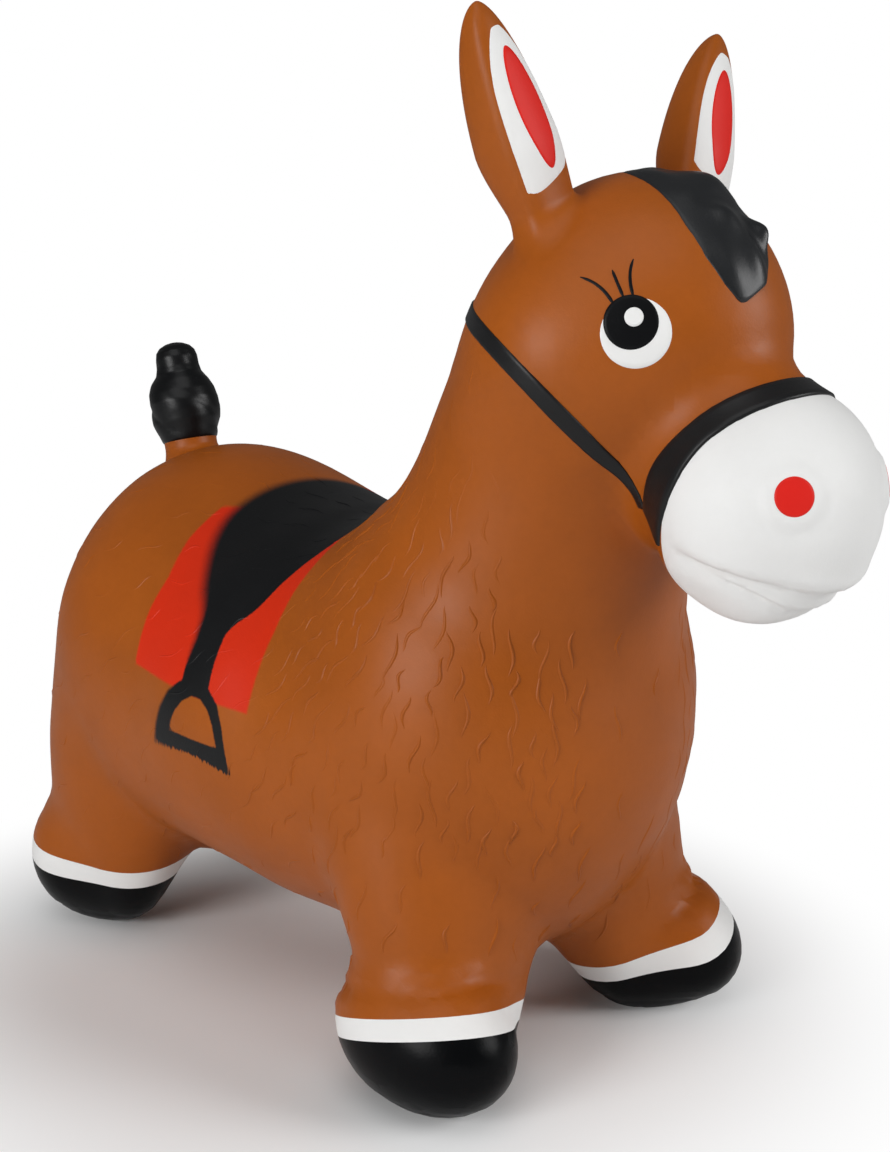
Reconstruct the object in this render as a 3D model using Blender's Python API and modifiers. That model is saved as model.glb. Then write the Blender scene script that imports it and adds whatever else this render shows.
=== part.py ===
# Inflatable horse hopper: one hollow moulded skin, split where its colours change and where it flexes.
# Metres, +Z up, +X towards the nose, +Y to the horse's left, soles on the floor at z = 0.
import math

import bmesh
import bpy
from mathutils import Matrix, Quaternion, Vector
from mathutils.bvhtree import BVHTree

OBJECT_NAME = "horse_hopper"

# Skin
WALL = 0.002
CLEARANCE = 0.0003
FORM_CELL = 0.007
FORM_FACES = 1900
HAIR_CELL = 0.0035
HAIR_FACES = 460
TAIL_FACES = 360
BALL_SIDES = 24
BALL_RINGS = 16
SWELL_THRESHOLD = 0.2
SWELL_STIFFNESS = 2.0
SOFT_STIFFNESS = 0.14
MERGE_DISTANCE = 0.00005
SHARP_ANGLE = 40

# Swollen lumps of the body: centre, full size along, across and up, and nose-up pitch in degrees.
# A lump with a y has a twin on the other side; a soft lump only fills a valley between others.
RUMP = dict(x=-0.177, y=0.0, z=0.172, along=0.210, across=0.240, up=0.264, pitch=0)
BELLY = dict(x=-0.057, y=0.0, z=0.164, along=0.328, across=0.260, up=0.222, pitch=-17)
CHEST = dict(x=0.060, y=0.0, z=0.185, along=0.200, across=0.228, up=0.270, pitch=0)
NECK = dict(x=0.106, y=0.0, z=0.311, along=0.140, across=0.154, up=0.226, pitch=-13)
SKULL = dict(x=0.143, y=0.0, z=0.379, along=0.130, across=0.170, up=0.142, pitch=0)
FACE = dict(x=0.159, y=0.0, z=0.393, along=0.144, across=0.116, up=0.132, pitch=-45)
JAW = dict(x=0.197, y=0.0, z=0.338, along=0.092, across=0.080, up=0.092, pitch=-40)
MUZZLE = dict(x=0.229, y=0.0, z=0.314, along=0.104, across=0.108, up=0.112, pitch=-9)
NOSTRIL = dict(x=0.260, y=0.029, z=0.323, along=0.024, across=0.024, up=0.024, pitch=0)
FRONT_LEG = dict(x=0.077, y=0.067, z=0.094, along=0.080, across=0.098, up=0.195, pitch=18)
FRONT_HOOF = dict(x=0.098, y=0.092, z=0.036, along=0.110, across=0.076, up=0.076, pitch=-4)
REAR_LEG = dict(x=-0.201, y=0.080, z=0.093, along=0.106, across=0.072, up=0.182, pitch=0)
REAR_HOOF = dict(x=-0.230, y=0.081, z=0.042, along=0.082, across=0.082, up=0.088, pitch=0)
GROIN = dict(x=-0.115, y=0.092, z=0.122, along=0.140, across=0.100, up=0.120, pitch=0)
FIRM_LUMPS = (RUMP, BELLY, CHEST, NECK, SKULL, FACE, JAW, MUZZLE, NOSTRIL,
              FRONT_LEG, FRONT_HOOF, REAR_LEG, REAR_HOOF)
SOFT_LUMPS = (GROIN,)

# White bands above the hooves: where the top edge crosses the hoof's centre line, and its slopes.
BAND_WIDTH = 0.013
FRONT_BAND = dict(hoof=FRONT_HOOF, height=0.045, slope_forward=0.37, slope_outward=0.26)
REAR_BAND = dict(hoof=REAR_HOOF, height=0.048, slope_forward=-0.05, slope_outward=0.15)
HOOF_ROOM_ALONG = 0.075
HOOF_ROOM_ACROSS = 0.060
HOOF_ROOM_BELOW = 0.150

# Halter moulded on the head
STRAP_RAISE = 0.0016
NOSEBAND_WIDTH = 0.0135
NOSEBAND_BEHIND_MUZZLE = 0.0205
NOSEBAND_PITCH = -40
NOSEBAND_DROP = 0.036
MUZZLE_DROP = 0.066
NOSEBAND_RISE = 0.080
CHEEK_STRAP_WIDTH = 0.009
CHEEK_STRAP_RADIUS = 0.0955
CHEEK_STRAP_BACK = 0.060
CHEEK_STRAP_DOWN = 0.073
CHEEK_STRAP_START = -7
CHEEK_STRAP_SWEEP = 127
CHEEK_STRAP_STEPS = 24
HEAD_ROOM = 0.13

# Ears, which the child holds
EAR_LENGTH = 0.102
EAR_WIDTH = 0.0365
EAR_DEPTH = 0.039
EAR_ROOT_WIDTH = 0.032
EAR_ROOT_DEPTH = 0.027
EAR_SUNK = 0.008
EAR_BACK_SHARE = 0.64
EAR_BACK_SQUARE = 2.6
EAR_DISH = 0.003
EAR_WIDEST = 0.42
EAR_POINT = 0.57
EAR_FULLNESS = 1.35
EAR_KNUCKLE_MARGIN = 0.0035
EAR_SEAT_SPLAY = 41
EAR_SEAT_PITCH = 0
EAR_LEAN_BACK = 10
EAR_LEAN_OUT = 20
EAR_TURN_OUT = -4
EAR_RINGS = 12
EAR_SIDES = 16

# Hair: locks are lumps, partly sunk in the skin, a pitch apart along the crest of the head and neck.
# The first row of each is at an angle about the skull's centre.
CREST_STEP = 0.5
FORELOCK_FROM = 80
FORELOCK_ROWS = 5
FORELOCK_PITCH = 0.0175
FORELOCK_COLUMNS = 3
FORELOCK_SPREAD = 0.030
FORELOCK_LOCK = dict(along=0.034, across=0.028, up=0.018, sunk=0.006)
MANE_FROM = 122
MANE_LOCKS = 7
MANE_PITCH = 0.021
MANE_LOCK = dict(along=0.044, across=0.030, up=0.026, sunk=0.002)
MANE_ROOM = 0.018
POLL_ANGLE = 108

# Tail knot
TAIL_SEAT_PITCH = 111
TAIL_LEAN_BACK = 14
TAIL_KNUCKLE = 0.0195
TAIL_STUB_WIDTH = 0.033
TAIL_STUB_HEIGHT = 0.030
KNOT_WIDTH = 0.045
KNOT_HEIGHT = 0.046
KNOT_RISE = 0.033
KNOB_WIDTH = 0.030
KNOB_HEIGHT = 0.034
KNOB_RISE = 0.058
TWIST_LOCKS = 3
TWIST_WIDTH = 0.016
TWIST_HEIGHT = 0.037
TWIST_OUT = 0.018
TWIST_STEP = 0.0046

# Air valve under the belly
VALVE_X = -0.095
VALVE_RADIUS = 0.012
VALVE_DEPTH = 0.016
VALVE_PROUD = 0.0012
PLUG_HEAD_RADIUS = 0.009
PLUG_HEAD_DEPTH = 0.003
PLUG_STEM_RADIUS = 0.005
PLUG_STEM_LENGTH = 0.011
PLUG_BEAD = 0.0004
TURNED_STEPS = 24

# Colours and finishes
BROWN = (0.335, 0.08, 0.005)
BLACK = (0.004, 0.004, 0.005)
WHITE = (0.80, 0.80, 0.79)
CLEAR_WHITE = (0.72, 0.72, 0.70)
GLOSS = 0.30
SATIN = 0.38
MATT = 0.42

SIDES = {"left": 1, "right": -1}


def clear_scene():
    for item in list(bpy.data.objects):
        bpy.data.objects.remove(item)


def new_collection(name):
    collection = bpy.data.collections.new(name)
    bpy.context.scene.collection.children.link(collection)
    return collection


def vinyl(name, colour, roughness):
    material = bpy.data.materials.new(name)
    material.use_nodes = True
    shader = material.node_tree.nodes["Principled BSDF"]
    shader.inputs["Base Color"].default_value = (*colour, 1.0)
    shader.inputs["Roughness"].default_value = roughness
    shader.inputs["Metallic"].default_value = 0.0
    return material


def add_object(name, mesh, collection):
    item = bpy.data.objects.new(name, mesh)
    collection.objects.link(item)
    return item


def add_part(name, mesh, colour, roughness=SATIN):
    part = add_object(name, mesh, parts)
    mesh.materials.clear()
    mesh.materials.append(vinyl(name, colour, roughness))
    mesh.shade_smooth()
    mesh.set_sharp_from_angle(angle=math.radians(SHARP_ANGLE))
    return part


def add_cutter(name, mesh):
    cutter = add_object(name, mesh, cutters)
    cutter.hide_render = True
    cutter.display_type = "WIRE"
    return cutter


def cut(part, cutter, operation="DIFFERENCE"):
    boolean = part.modifiers.new(cutter.name, "BOOLEAN")
    boolean.operation = operation
    boolean.solver = "EXACT"
    boolean.object = cutter
    return part


def baked_away(item):
    # The object's finished mesh, in place of the object
    bpy.context.view_layer.update()
    graph = bpy.context.evaluated_depsgraph_get()
    mesh = bpy.data.meshes.new_from_object(item.evaluated_get(graph))
    bpy.data.objects.remove(item)
    return mesh


def mesh_from(bm, name):
    mesh = bpy.data.meshes.new(name)
    bmesh.ops.recalc_face_normals(bm, faces=bm.faces)
    bm.to_mesh(mesh)
    bm.free()
    return mesh


def block(name, size, frame):
    bm = bmesh.new()
    bmesh.ops.create_cube(bm, size=1.0)
    bmesh.ops.scale(bm, verts=bm.verts, vec=size)
    bmesh.ops.transform(bm, verts=bm.verts, matrix=frame)
    return add_cutter(name, mesh_from(bm, name))


def ball(name, radius, centre):
    bm = bmesh.new()
    bmesh.ops.create_uvsphere(bm, u_segments=BALL_SIDES, v_segments=BALL_RINGS, radius=radius)
    bmesh.ops.translate(bm, verts=bm.verts, vec=centre)
    return add_cutter(name, mesh_from(bm, name))


def frame_from(x_axis, z_axis, at):
    z = z_axis.normalized()
    y = z.cross(x_axis).normalized()
    x = y.cross(z)
    return Matrix.Translation(at) @ Matrix((x, y, z)).transposed().to_4x4()


def swollen_mesh(name, lumps, cell):
    # Each lump alone would end at its own full size; neighbours swell into one another.
    skin = bpy.data.metaballs.new(name)
    skin.resolution = cell
    skin.render_resolution = cell
    skin.threshold = SWELL_THRESHOLD
    reach = math.sqrt(1 - (SWELL_THRESHOLD / SWELL_STIFFNESS) ** (1 / 3))
    for at, half, turn, stiffness in lumps:
        lump = skin.elements.new(type="ELLIPSOID")
        lump.co = at
        lump.radius = 1 / reach
        lump.size_x, lump.size_y, lump.size_z = half
        lump.stiffness = stiffness
        lump.rotation = turn
    holder = bpy.data.objects.new(name, skin)
    bpy.context.scene.collection.objects.link(holder)
    mesh = baked_away(holder)
    bpy.data.metaballs.remove(skin)
    return mesh


def body_lumps():
    for lump in FIRM_LUMPS + SOFT_LUMPS:
        stiffness = SOFT_STIFFNESS if lump in SOFT_LUMPS else SWELL_STIFFNESS
        half = Vector((lump["along"], lump["across"], lump["up"])) / 2
        turn = Quaternion((0, 1, 0), math.radians(-lump["pitch"]))
        for side in (1, -1) if lump["y"] else (1,):
            yield Vector((lump["x"], side * lump["y"], lump["z"])), half, turn, stiffness


def thinned(name, mesh, faces):
    # The same form with about that many triangles
    item = add_cutter(name, mesh)
    evenly = item.modifiers.new("triangles", "TRIANGULATE")
    evenly.min_vertices = 4
    thin = item.modifiers.new("fewer_faces", "DECIMATE")
    thin.ratio = min(1.0, faces / (2 * len(mesh.polygons)))
    return baked_away(item)


def body_form():
    mesh = thinned("body_form", swollen_mesh("body_form", body_lumps(), FORM_CELL), FORM_FACES)
    bm = bmesh.new()
    bm.from_mesh(mesh)
    everything = list(bm.verts) + list(bm.edges) + list(bm.faces)
    sole = bmesh.ops.bisect_plane(bm, geom=everything, plane_co=(0, 0, 0), plane_no=(0, 0, -1), clear_outer=True)
    bmesh.ops.edgenet_fill(bm, edges=[e for e in sole["geom_cut"] if isinstance(e, bmesh.types.BMEdge)])
    form = add_cutter("flat_soled_form", mesh_from(bm, "flat_soled_form"))
    mirror = form.modifiers.new("both_sides_alike", "MIRROR")
    mirror.use_axis = (False, True, False)
    mirror.use_bisect_axis = (False, True, False)
    mirror.merge_threshold = MERGE_DISTANCE
    return add_cutter("horse_form", baked_away(form))


def surface_finder(item):
    tree = BVHTree.FromPolygons([v.co for v in item.data.vertices], [p.vertices for p in item.data.polygons])

    def find(start, towards):
        return tree.ray_cast(start, towards)[0]
    return find


def centre_of(lump):
    return Vector((lump["x"], lump["y"], lump["z"]))


def in_profile(pitch):
    angle = math.radians(pitch)
    return Vector((math.cos(angle), 0, math.sin(angle)))


# Ears

def ear_frame(side, find):
    lean_back = math.tan(math.radians(EAR_LEAN_BACK))
    lean_out = math.tan(math.radians(EAR_LEAN_OUT))
    splay = math.radians(EAR_SEAT_SPLAY)
    pitch = math.radians(EAR_SEAT_PITCH)
    towards = Vector((math.sin(pitch), side * math.sin(splay), math.cos(splay)))
    seat = find(centre_of(SKULL), towards)
    turn = math.radians(EAR_TURN_OUT)
    facing = Vector((math.cos(turn), side * math.sin(turn), 0))
    return frame_from(facing, Vector((-lean_back, side * lean_out, 1)), seat)


def up_to_widest(t):
    share = min(1, t / EAR_WIDEST)
    return share * share * (3 - 2 * share)


def ear_half_width(t):
    # Fullest below the middle, then drawn in to the tip
    if t < EAR_WIDEST:
        return (EAR_ROOT_WIDTH + (EAR_WIDTH - EAR_ROOT_WIDTH) * up_to_widest(t)) / 2
    left = (1 - t) / (1 - EAR_WIDEST)
    return EAR_WIDTH / 2 * left ** EAR_POINT * (EAR_FULLNESS + (1 - EAR_FULLNESS) * left)


def ear_depth(t):
    depth = EAR_ROOT_DEPTH + (EAR_DEPTH - EAR_ROOT_DEPTH) * up_to_widest(t)
    return depth * ear_half_width(t) * 2 / EAR_WIDTH


def squared(share):
    # A share of a round section, moved out towards the corner of its box
    return math.copysign(abs(share) ** (2 / EAR_BACK_SQUARE), share)


def ear_knuckle():
    # The ball that the ear turns on holds the whole root, with the corners of its back
    half_width = ear_half_width(0)
    back = EAR_BACK_SHARE * ear_depth(0)
    corner = squared(math.sqrt(0.5)) * math.hypot(half_width, back)
    return math.hypot(max(half_width, back, corner), EAR_SUNK) + EAR_KNUCKLE_MARGIN


def ear_mesh(frame):
    # A deep squarish back and a dished front, from the root inside the head to a rounded tip
    bm = bmesh.new()
    bmesh.ops.create_uvsphere(bm, u_segments=EAR_SIDES, v_segments=EAR_RINGS, radius=1.0)
    for vert in bm.verts:
        t = (vert.co.z + 1) / 2
        width = ear_half_width(t)
        depth = ear_depth(t)
        around = Vector((vert.co.x, vert.co.y))
        if around.length < 1e-4:
            across, through = 0.0, 0.0
        else:
            around.normalize()
            if around.x < 0:
                across = width * squared(around.y)
                through = depth * EAR_BACK_SHARE * squared(around.x)
            else:
                dish = EAR_DISH * (1 - around.y ** 2) * min(1, 4 * t * (1 - t))
                across = width * around.y
                through = depth * (1 - EAR_BACK_SHARE) * around.x - dish
        vert.co = Vector((through, across, -EAR_SUNK + t * (EAR_LENGTH + EAR_SUNK)))
    bmesh.ops.transform(bm, verts=bm.verts, matrix=frame)
    return mesh_from(bm, "ear_form")


def socket_radius(knuckle):
    # A ball's facets lie inside its radius, so the socket is larger by as much
    facet = math.cos(math.pi / BALL_SIDES) * math.cos(math.pi / BALL_RINGS / 2)
    return (knuckle + CLEARANCE) / facet


def add_ear(name, frame):
    room = ball(name + "_room", socket_radius(ear_knuckle()), frame.translation)
    ear = add_part(name, ear_mesh(frame), BROWN)
    hollow(ear)
    cut(ear, room)
    set_origin(ear, frame.translation)
    return ear


def add_knuckle(form, name, mesh, radius, centre):
    stub = add_cutter(name + "_stub", mesh)
    cut(stub, ball(name + "_knuckle", radius, centre), "INTERSECT")
    joined = add_cutter(name + "_knuckle_cut", baked_away(stub))
    cut(form, joined, "UNION")


def hollow(part):
    wall = part.modifiers.new("wall", "SOLIDIFY")
    wall.thickness = WALL
    wall.offset = -1
    return part


def set_origin(part, point):
    part.data.transform(Matrix.Translation(-point))
    part.location = point


# Hair

def on_crest(find, angle):
    return find(centre_of(SKULL), in_profile(angle))


def crest_angles(find, start, step, pitch, count):
    # Places a pitch apart along the crest, from the start angle on
    angles = [start]
    last = on_crest(find, start)
    angle = start
    while len(angles) < count:
        angle += step
        at = on_crest(find, angle)
        if (at - last).length >= pitch:
            angles.append(angle)
            last = at
    return angles


def lock_lump(find, size, angle, aside=0.0):
    # A lump of hair on the skin, lying along the crest
    centre = centre_of(SKULL)
    middle = on_crest(find, angle)
    at = find(centre, middle - centre + Vector((0, aside, 0)))
    ahead = on_crest(find, angle - CREST_STEP) - middle
    out = (at - centre).normalized()
    turn = frame_from(ahead, out, Vector()).to_quaternion()
    half = Vector((size["along"], size["across"], size["up"])) / 2
    return at - out * size["sunk"], half, turn, SWELL_STIFFNESS


def spaced(start, end, count):
    return [start + (end - start) * index / (count - 1) for index in range(count)]


def forelock_lumps(find):
    for angle in crest_angles(find, FORELOCK_FROM, -CREST_STEP, FORELOCK_PITCH, FORELOCK_ROWS):
        for aside in spaced(-FORELOCK_SPREAD / 2, FORELOCK_SPREAD / 2, FORELOCK_COLUMNS):
            yield lock_lump(find, FORELOCK_LOCK, angle, aside)


def mane_lumps(find):
    for angle in crest_angles(find, MANE_FROM, CREST_STEP, MANE_PITCH, MANE_LOCKS):
        yield lock_lump(find, MANE_LOCK, angle)


def ahead_of_poll(name, gap):
    normal = in_profile(POLL_ANGLE - 90)
    frame = frame_from(in_profile(POLL_ANGLE), normal, centre_of(SKULL) + normal * (HEAD_ROOM + gap))
    return block(name, (4 * HEAD_ROOM, 2 * HEAD_ROOM, 2 * HEAD_ROOM), frame)


def add_hair(name, lumps, skin_room):
    hair = add_part(name, thinned(name + "_form", swollen_mesh(name, lumps, HAIR_CELL), HAIR_FACES), BLACK)
    return cut(hair, skin_room)


def add_forelock_and_mane(find, skin_room):
    forelock = add_hair("forelock", forelock_lumps(find), skin_room)
    cut(forelock, ahead_of_poll("forelock_side", CLEARANCE), "INTERSECT")
    mane = add_hair("mane", mane_lumps(find), skin_room)
    cut(mane, ahead_of_poll("forelock_room", 0.0))


# Tail

def tail_frame(find):
    seat = find(centre_of(RUMP), in_profile(TAIL_SEAT_PITCH))
    lean = math.tan(math.radians(TAIL_LEAN_BACK))
    return frame_from(Vector((1, 0, 0)), Vector((-lean, 0, 1)), seat)


def tail_lumps(frame):
    turn = frame.to_quaternion()

    def lump(rise, width, height, aside=Vector()):
        half = Vector((width, width, height)) / 2
        return frame @ (Vector((0, 0, rise)) + aside), half, turn, SWELL_STIFFNESS
    yield lump(0.0, TAIL_STUB_WIDTH, TAIL_STUB_HEIGHT)
    yield lump(KNOT_RISE, KNOT_WIDTH, KNOT_HEIGHT)
    yield lump(KNOB_RISE, KNOB_WIDTH, KNOB_HEIGHT)
    for index in range(TWIST_LOCKS):
        angle = math.tau * index / TWIST_LOCKS
        aside = Vector((math.cos(angle), math.sin(angle), 0)) * TWIST_OUT
        yield lump(KNOT_RISE + TWIST_STEP * (index - 1), TWIST_WIDTH, TWIST_HEIGHT, aside)


def tail_mesh(frame):
    return thinned("tail_form", swollen_mesh("tail_form", tail_lumps(frame), HAIR_CELL), TAIL_FACES)


# Halter

def noseband_frame():
    normal = in_profile(NOSEBAND_PITCH)
    at = centre_of(MUZZLE) - normal * NOSEBAND_BEHIND_MUZZLE
    return frame_from(in_profile(NOSEBAND_PITCH + 90), normal, at)


def snout_block(name, back, front, drop, spare=0.0):
    # A block across the snout, from back to front of the noseband's front edge; it stops short of the throat
    drop = drop + spare
    middle = Vector(((NOSEBAND_RISE - drop) / 2, 0, (back + front) / 2))
    size = (NOSEBAND_RISE + drop, 2 * HEAD_ROOM, front - back + 2 * spare)
    return block(name, size, noseband_frame() @ Matrix.Translation(middle))


def outline_solid(name, points, half_depth, frame):
    curve = bpy.data.curves.new(name, "CURVE")
    curve.dimensions = "2D"
    curve.fill_mode = "BOTH"
    curve.extrude = half_depth
    spline = curve.splines.new("POLY")
    spline.points.add(len(points) - 1)
    for point, (x, y) in zip(spline.points, points):
        point.co = (x, y, 0, 1)
    spline.use_cyclic_u = True
    holder = add_object(name, curve, cutters)
    bm = bmesh.new()
    bm.from_mesh(baked_away(holder))
    bmesh.ops.remove_doubles(bm, verts=bm.verts, dist=MERGE_DISTANCE)
    bmesh.ops.transform(bm, verts=bm.verts, matrix=frame)
    return add_cutter(name, mesh_from(bm, name))


def cheek_strap_arc():
    # A ring segment seen from the side, running right through the head
    centre = centre_of(SKULL) - Vector((CHEEK_STRAP_BACK, 0, CHEEK_STRAP_DOWN))
    steps = range(CHEEK_STRAP_STEPS + 1)
    angles = [math.radians(CHEEK_STRAP_START + CHEEK_STRAP_SWEEP * i / CHEEK_STRAP_STEPS) for i in steps]
    inner = CHEEK_STRAP_RADIUS - CHEEK_STRAP_WIDTH / 2
    outer = CHEEK_STRAP_RADIUS + CHEEK_STRAP_WIDTH / 2
    points = [(outer * math.cos(a), outer * math.sin(a)) for a in angles]
    points += [(inner * math.cos(a), inner * math.sin(a)) for a in reversed(angles)]
    frame = frame_from(Vector((1, 0, 0)), Vector((0, -1, 0)), centre)
    return outline_solid("cheek_strap_arc", points, HEAD_ROOM, frame)


def grown_skin(name, form, growth):
    room = add_cutter(name, form.data.copy())
    lift = room.modifiers.new("growth", "DISPLACE")
    lift.strength = growth
    lift.mid_level = 0.0
    return room


def add_strap(name, zone, raised, skin_room):
    # A strap is the raised skin inside its zone, less the skin below it
    strap = add_part(name, raised.copy(), BLACK, GLOSS)
    cut(strap, zone, "INTERSECT")
    return cut(strap, skin_room)


def add_halter(form, skin_room):
    raised = baked_away(grown_skin("raised_skin", form, STRAP_RAISE))
    add_strap("noseband", snout_block("noseband_slab", -NOSEBAND_WIDTH, 0.0, NOSEBAND_DROP), raised, skin_room)
    arc = cheek_strap_arc()
    noseband_room = snout_block("noseband_room", -NOSEBAND_WIDTH, HEAD_ROOM, HEAD_ROOM, CLEARANCE)
    for name, side in SIDES.items():
        strap = add_strap("cheek_strap_" + name, arc, raised, skin_room)
        cut(strap, noseband_room)
        near = MANE_ROOM + CLEARANCE
        middle = Vector((SKULL["x"], side * (near + HEAD_ROOM / 2), SKULL["z"]))
        half = block("cheek_" + name, (4 * HEAD_ROOM, HEAD_ROOM, 4 * HEAD_ROOM), Matrix.Translation(middle))
        cut(strap, half, "INTERSECT")


# Zones of the skin that are coloured by themselves

def band_frame(band, side):
    hoof = band["hoof"]
    normal = Vector((-band["slope_forward"], -side * band["slope_outward"], 1)).normalized()
    return frame_from(Vector((1, 0, 0)), normal, Vector((hoof["x"], side * hoof["y"], band["height"])))


def hoof_block(name, band, side, top, bottom):
    # A block across one hoof, between two heights below its band's top edge
    frame = band_frame(band, side) @ Matrix.Translation((0, 0, (top + bottom) / 2))
    return block(name, (2 * HOOF_ROOM_ALONG, 2 * HOOF_ROOM_ACROSS, top - bottom), frame)


def add_hooves(shell, body):
    for end, band in (("front", FRONT_BAND), ("rear", REAR_BAND)):
        for name, side in SIDES.items():
            hoof_name = "hoof_" + end + "_" + name
            band_name = "hoof_band_" + end + "_" + name
            below = -HOOF_ROOM_BELOW
            cut(body, hoof_block(hoof_name + "_room", band, side, 0.0, below))
            ring = add_part(band_name, shell.copy(), WHITE, MATT)
            ring_top = -CLEARANCE
            ring_bottom = -BAND_WIDTH
            cut(ring, hoof_block(band_name + "_slab", band, side, ring_top, ring_bottom), "INTERSECT")
            hoof = add_part(hoof_name, shell.copy(), BLACK, GLOSS)
            cut(hoof, hoof_block(hoof_name + "_block", band, side, ring_bottom - CLEARANCE, below), "INTERSECT")


def add_muzzle(shell, body):
    cut(body, snout_block("muzzle_room", CLEARANCE, HEAD_ROOM, MUZZLE_DROP, CLEARANCE))
    muzzle = add_part("muzzle", shell.copy(), WHITE, MATT)
    return cut(muzzle, snout_block("muzzle_block", CLEARANCE, HEAD_ROOM, MUZZLE_DROP), "INTERSECT")


# Air valve

def turned(name, profile, at, colour, roughness):
    # Profile points run down the outer side, then up the bore or to the axis
    bm = bmesh.new()
    verts = [bm.verts.new((radius, 0, height)) for radius, height in profile]
    closed = profile[0][0] > 0
    for first, second in zip(verts, verts[1:] + verts[:1] if closed else verts[1:]):
        bm.edges.new((first, second))
    mesh = bpy.data.meshes.new(name)
    bm.to_mesh(mesh)
    bm.free()
    part = add_part(name, mesh, colour, roughness)
    screw = part.modifiers.new("turned", "SCREW")
    screw.steps = TURNED_STEPS
    screw.render_steps = TURNED_STEPS
    screw.use_merge_vertices = True
    screw.merge_threshold = MERGE_DISTANCE
    part.location = at
    return part


def valve_seat_profile():
    bore = PLUG_STEM_RADIUS + CLEARANCE
    recess = PLUG_HEAD_RADIUS + CLEARANCE
    shelf = -VALVE_PROUD + PLUG_HEAD_DEPTH + CLEARANCE
    inside = VALVE_DEPTH - VALVE_PROUD
    return ((VALVE_RADIUS, inside), (VALVE_RADIUS, -VALVE_PROUD), (recess, -VALVE_PROUD),
            (recess, shelf), (bore, shelf), (bore, inside))


def valve_plug_profile():
    underside = -VALVE_PROUD
    shelf = underside + PLUG_HEAD_DEPTH
    top = shelf + PLUG_STEM_LENGTH
    stem = PLUG_STEM_RADIUS
    return ((0, top), (stem - PLUG_BEAD, top), (stem, top - 2 * PLUG_BEAD), (stem, shelf),
            (PLUG_HEAD_RADIUS, shelf), (PLUG_HEAD_RADIUS, underside), (0, underside))


def add_valve(body, find):
    at = find(Vector((VALVE_X, 0, BELLY["z"])), Vector((0, 0, -1)))
    hole = bmesh.new()
    bmesh.ops.create_cone(hole, cap_ends=True, segments=TURNED_STEPS, radius1=VALVE_RADIUS + CLEARANCE,
                          radius2=VALVE_RADIUS + CLEARANCE, depth=4 * VALVE_DEPTH)
    bmesh.ops.translate(hole, verts=hole.verts, vec=at)
    cut(body, add_cutter("valve_hole", mesh_from(hole, "valve_hole")))
    turned("valve_seat", valve_seat_profile(), at, CLEAR_WHITE, SATIN)
    turned("valve_plug", valve_plug_profile(), at, CLEAR_WHITE, SATIN)


def build():
    form = body_form()
    find = surface_finder(form)
    ears = {name: ear_frame(side, find) for name, side in SIDES.items()}
    tail_at = tail_frame(find)
    tail_shape = tail_mesh(tail_at)
    for name, frame in ears.items():
        add_knuckle(form, "ear_" + name, ear_mesh(frame), ear_knuckle(), frame.translation)
    add_knuckle(form, "tail", tail_shape.copy(), TAIL_KNUCKLE, tail_at.translation)
    whole = add_cutter("whole_form", baked_away(form))
    shell = baked_away(hollow(add_cutter("shell", whole.data.copy())))
    body = add_part("body_skin", shell.copy(), BROWN)
    add_muzzle(shell, body)
    add_hooves(shell, body)
    add_valve(body, find)
    skin_room = grown_skin("skin_room", whole, CLEARANCE)
    add_halter(whole, skin_room)
    add_forelock_and_mane(find, skin_room)
    for name, frame in ears.items():
        add_ear("ear_" + name, frame)
    tail = add_part("tail", tail_shape, BLACK)
    hollow(tail)
    cut(tail, ball("tail_room", socket_radius(TAIL_KNUCKLE), tail_at.translation))
    set_origin(tail, tail_at.translation)
    for name, frame in list(ears.items()) + [("tail", tail_at)]:
        place = [round(c, 4) for c in frame.translation]
        print(name, "flexes about", place, "along", [round(c, 3) for c in frame.col[1][:3]])


clear_scene()
parts = new_collection(OBJECT_NAME)
cutters = new_collection("cutters")
build()
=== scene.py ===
import math

import bmesh
import bpy
import numpy as np
from mathutils import Matrix, Quaternion, Vector


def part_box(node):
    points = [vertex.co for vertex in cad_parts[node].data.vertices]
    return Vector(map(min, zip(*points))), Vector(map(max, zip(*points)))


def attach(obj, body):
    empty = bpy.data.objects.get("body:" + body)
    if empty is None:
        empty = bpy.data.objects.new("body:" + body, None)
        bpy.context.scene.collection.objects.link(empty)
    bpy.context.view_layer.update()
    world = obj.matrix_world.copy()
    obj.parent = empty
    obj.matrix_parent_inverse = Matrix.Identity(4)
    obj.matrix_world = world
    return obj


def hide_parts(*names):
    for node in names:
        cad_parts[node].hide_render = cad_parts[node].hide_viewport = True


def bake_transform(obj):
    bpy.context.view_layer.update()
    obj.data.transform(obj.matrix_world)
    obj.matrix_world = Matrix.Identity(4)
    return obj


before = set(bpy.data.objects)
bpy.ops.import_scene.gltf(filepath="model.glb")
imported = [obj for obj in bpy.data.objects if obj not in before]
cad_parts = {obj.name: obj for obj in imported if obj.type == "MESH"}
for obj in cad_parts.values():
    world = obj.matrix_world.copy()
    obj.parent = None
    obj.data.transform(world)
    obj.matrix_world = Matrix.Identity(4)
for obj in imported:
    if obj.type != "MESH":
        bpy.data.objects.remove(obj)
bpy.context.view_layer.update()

sides = dict(left=1, right=-1)
tiny = 1e-12

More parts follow.
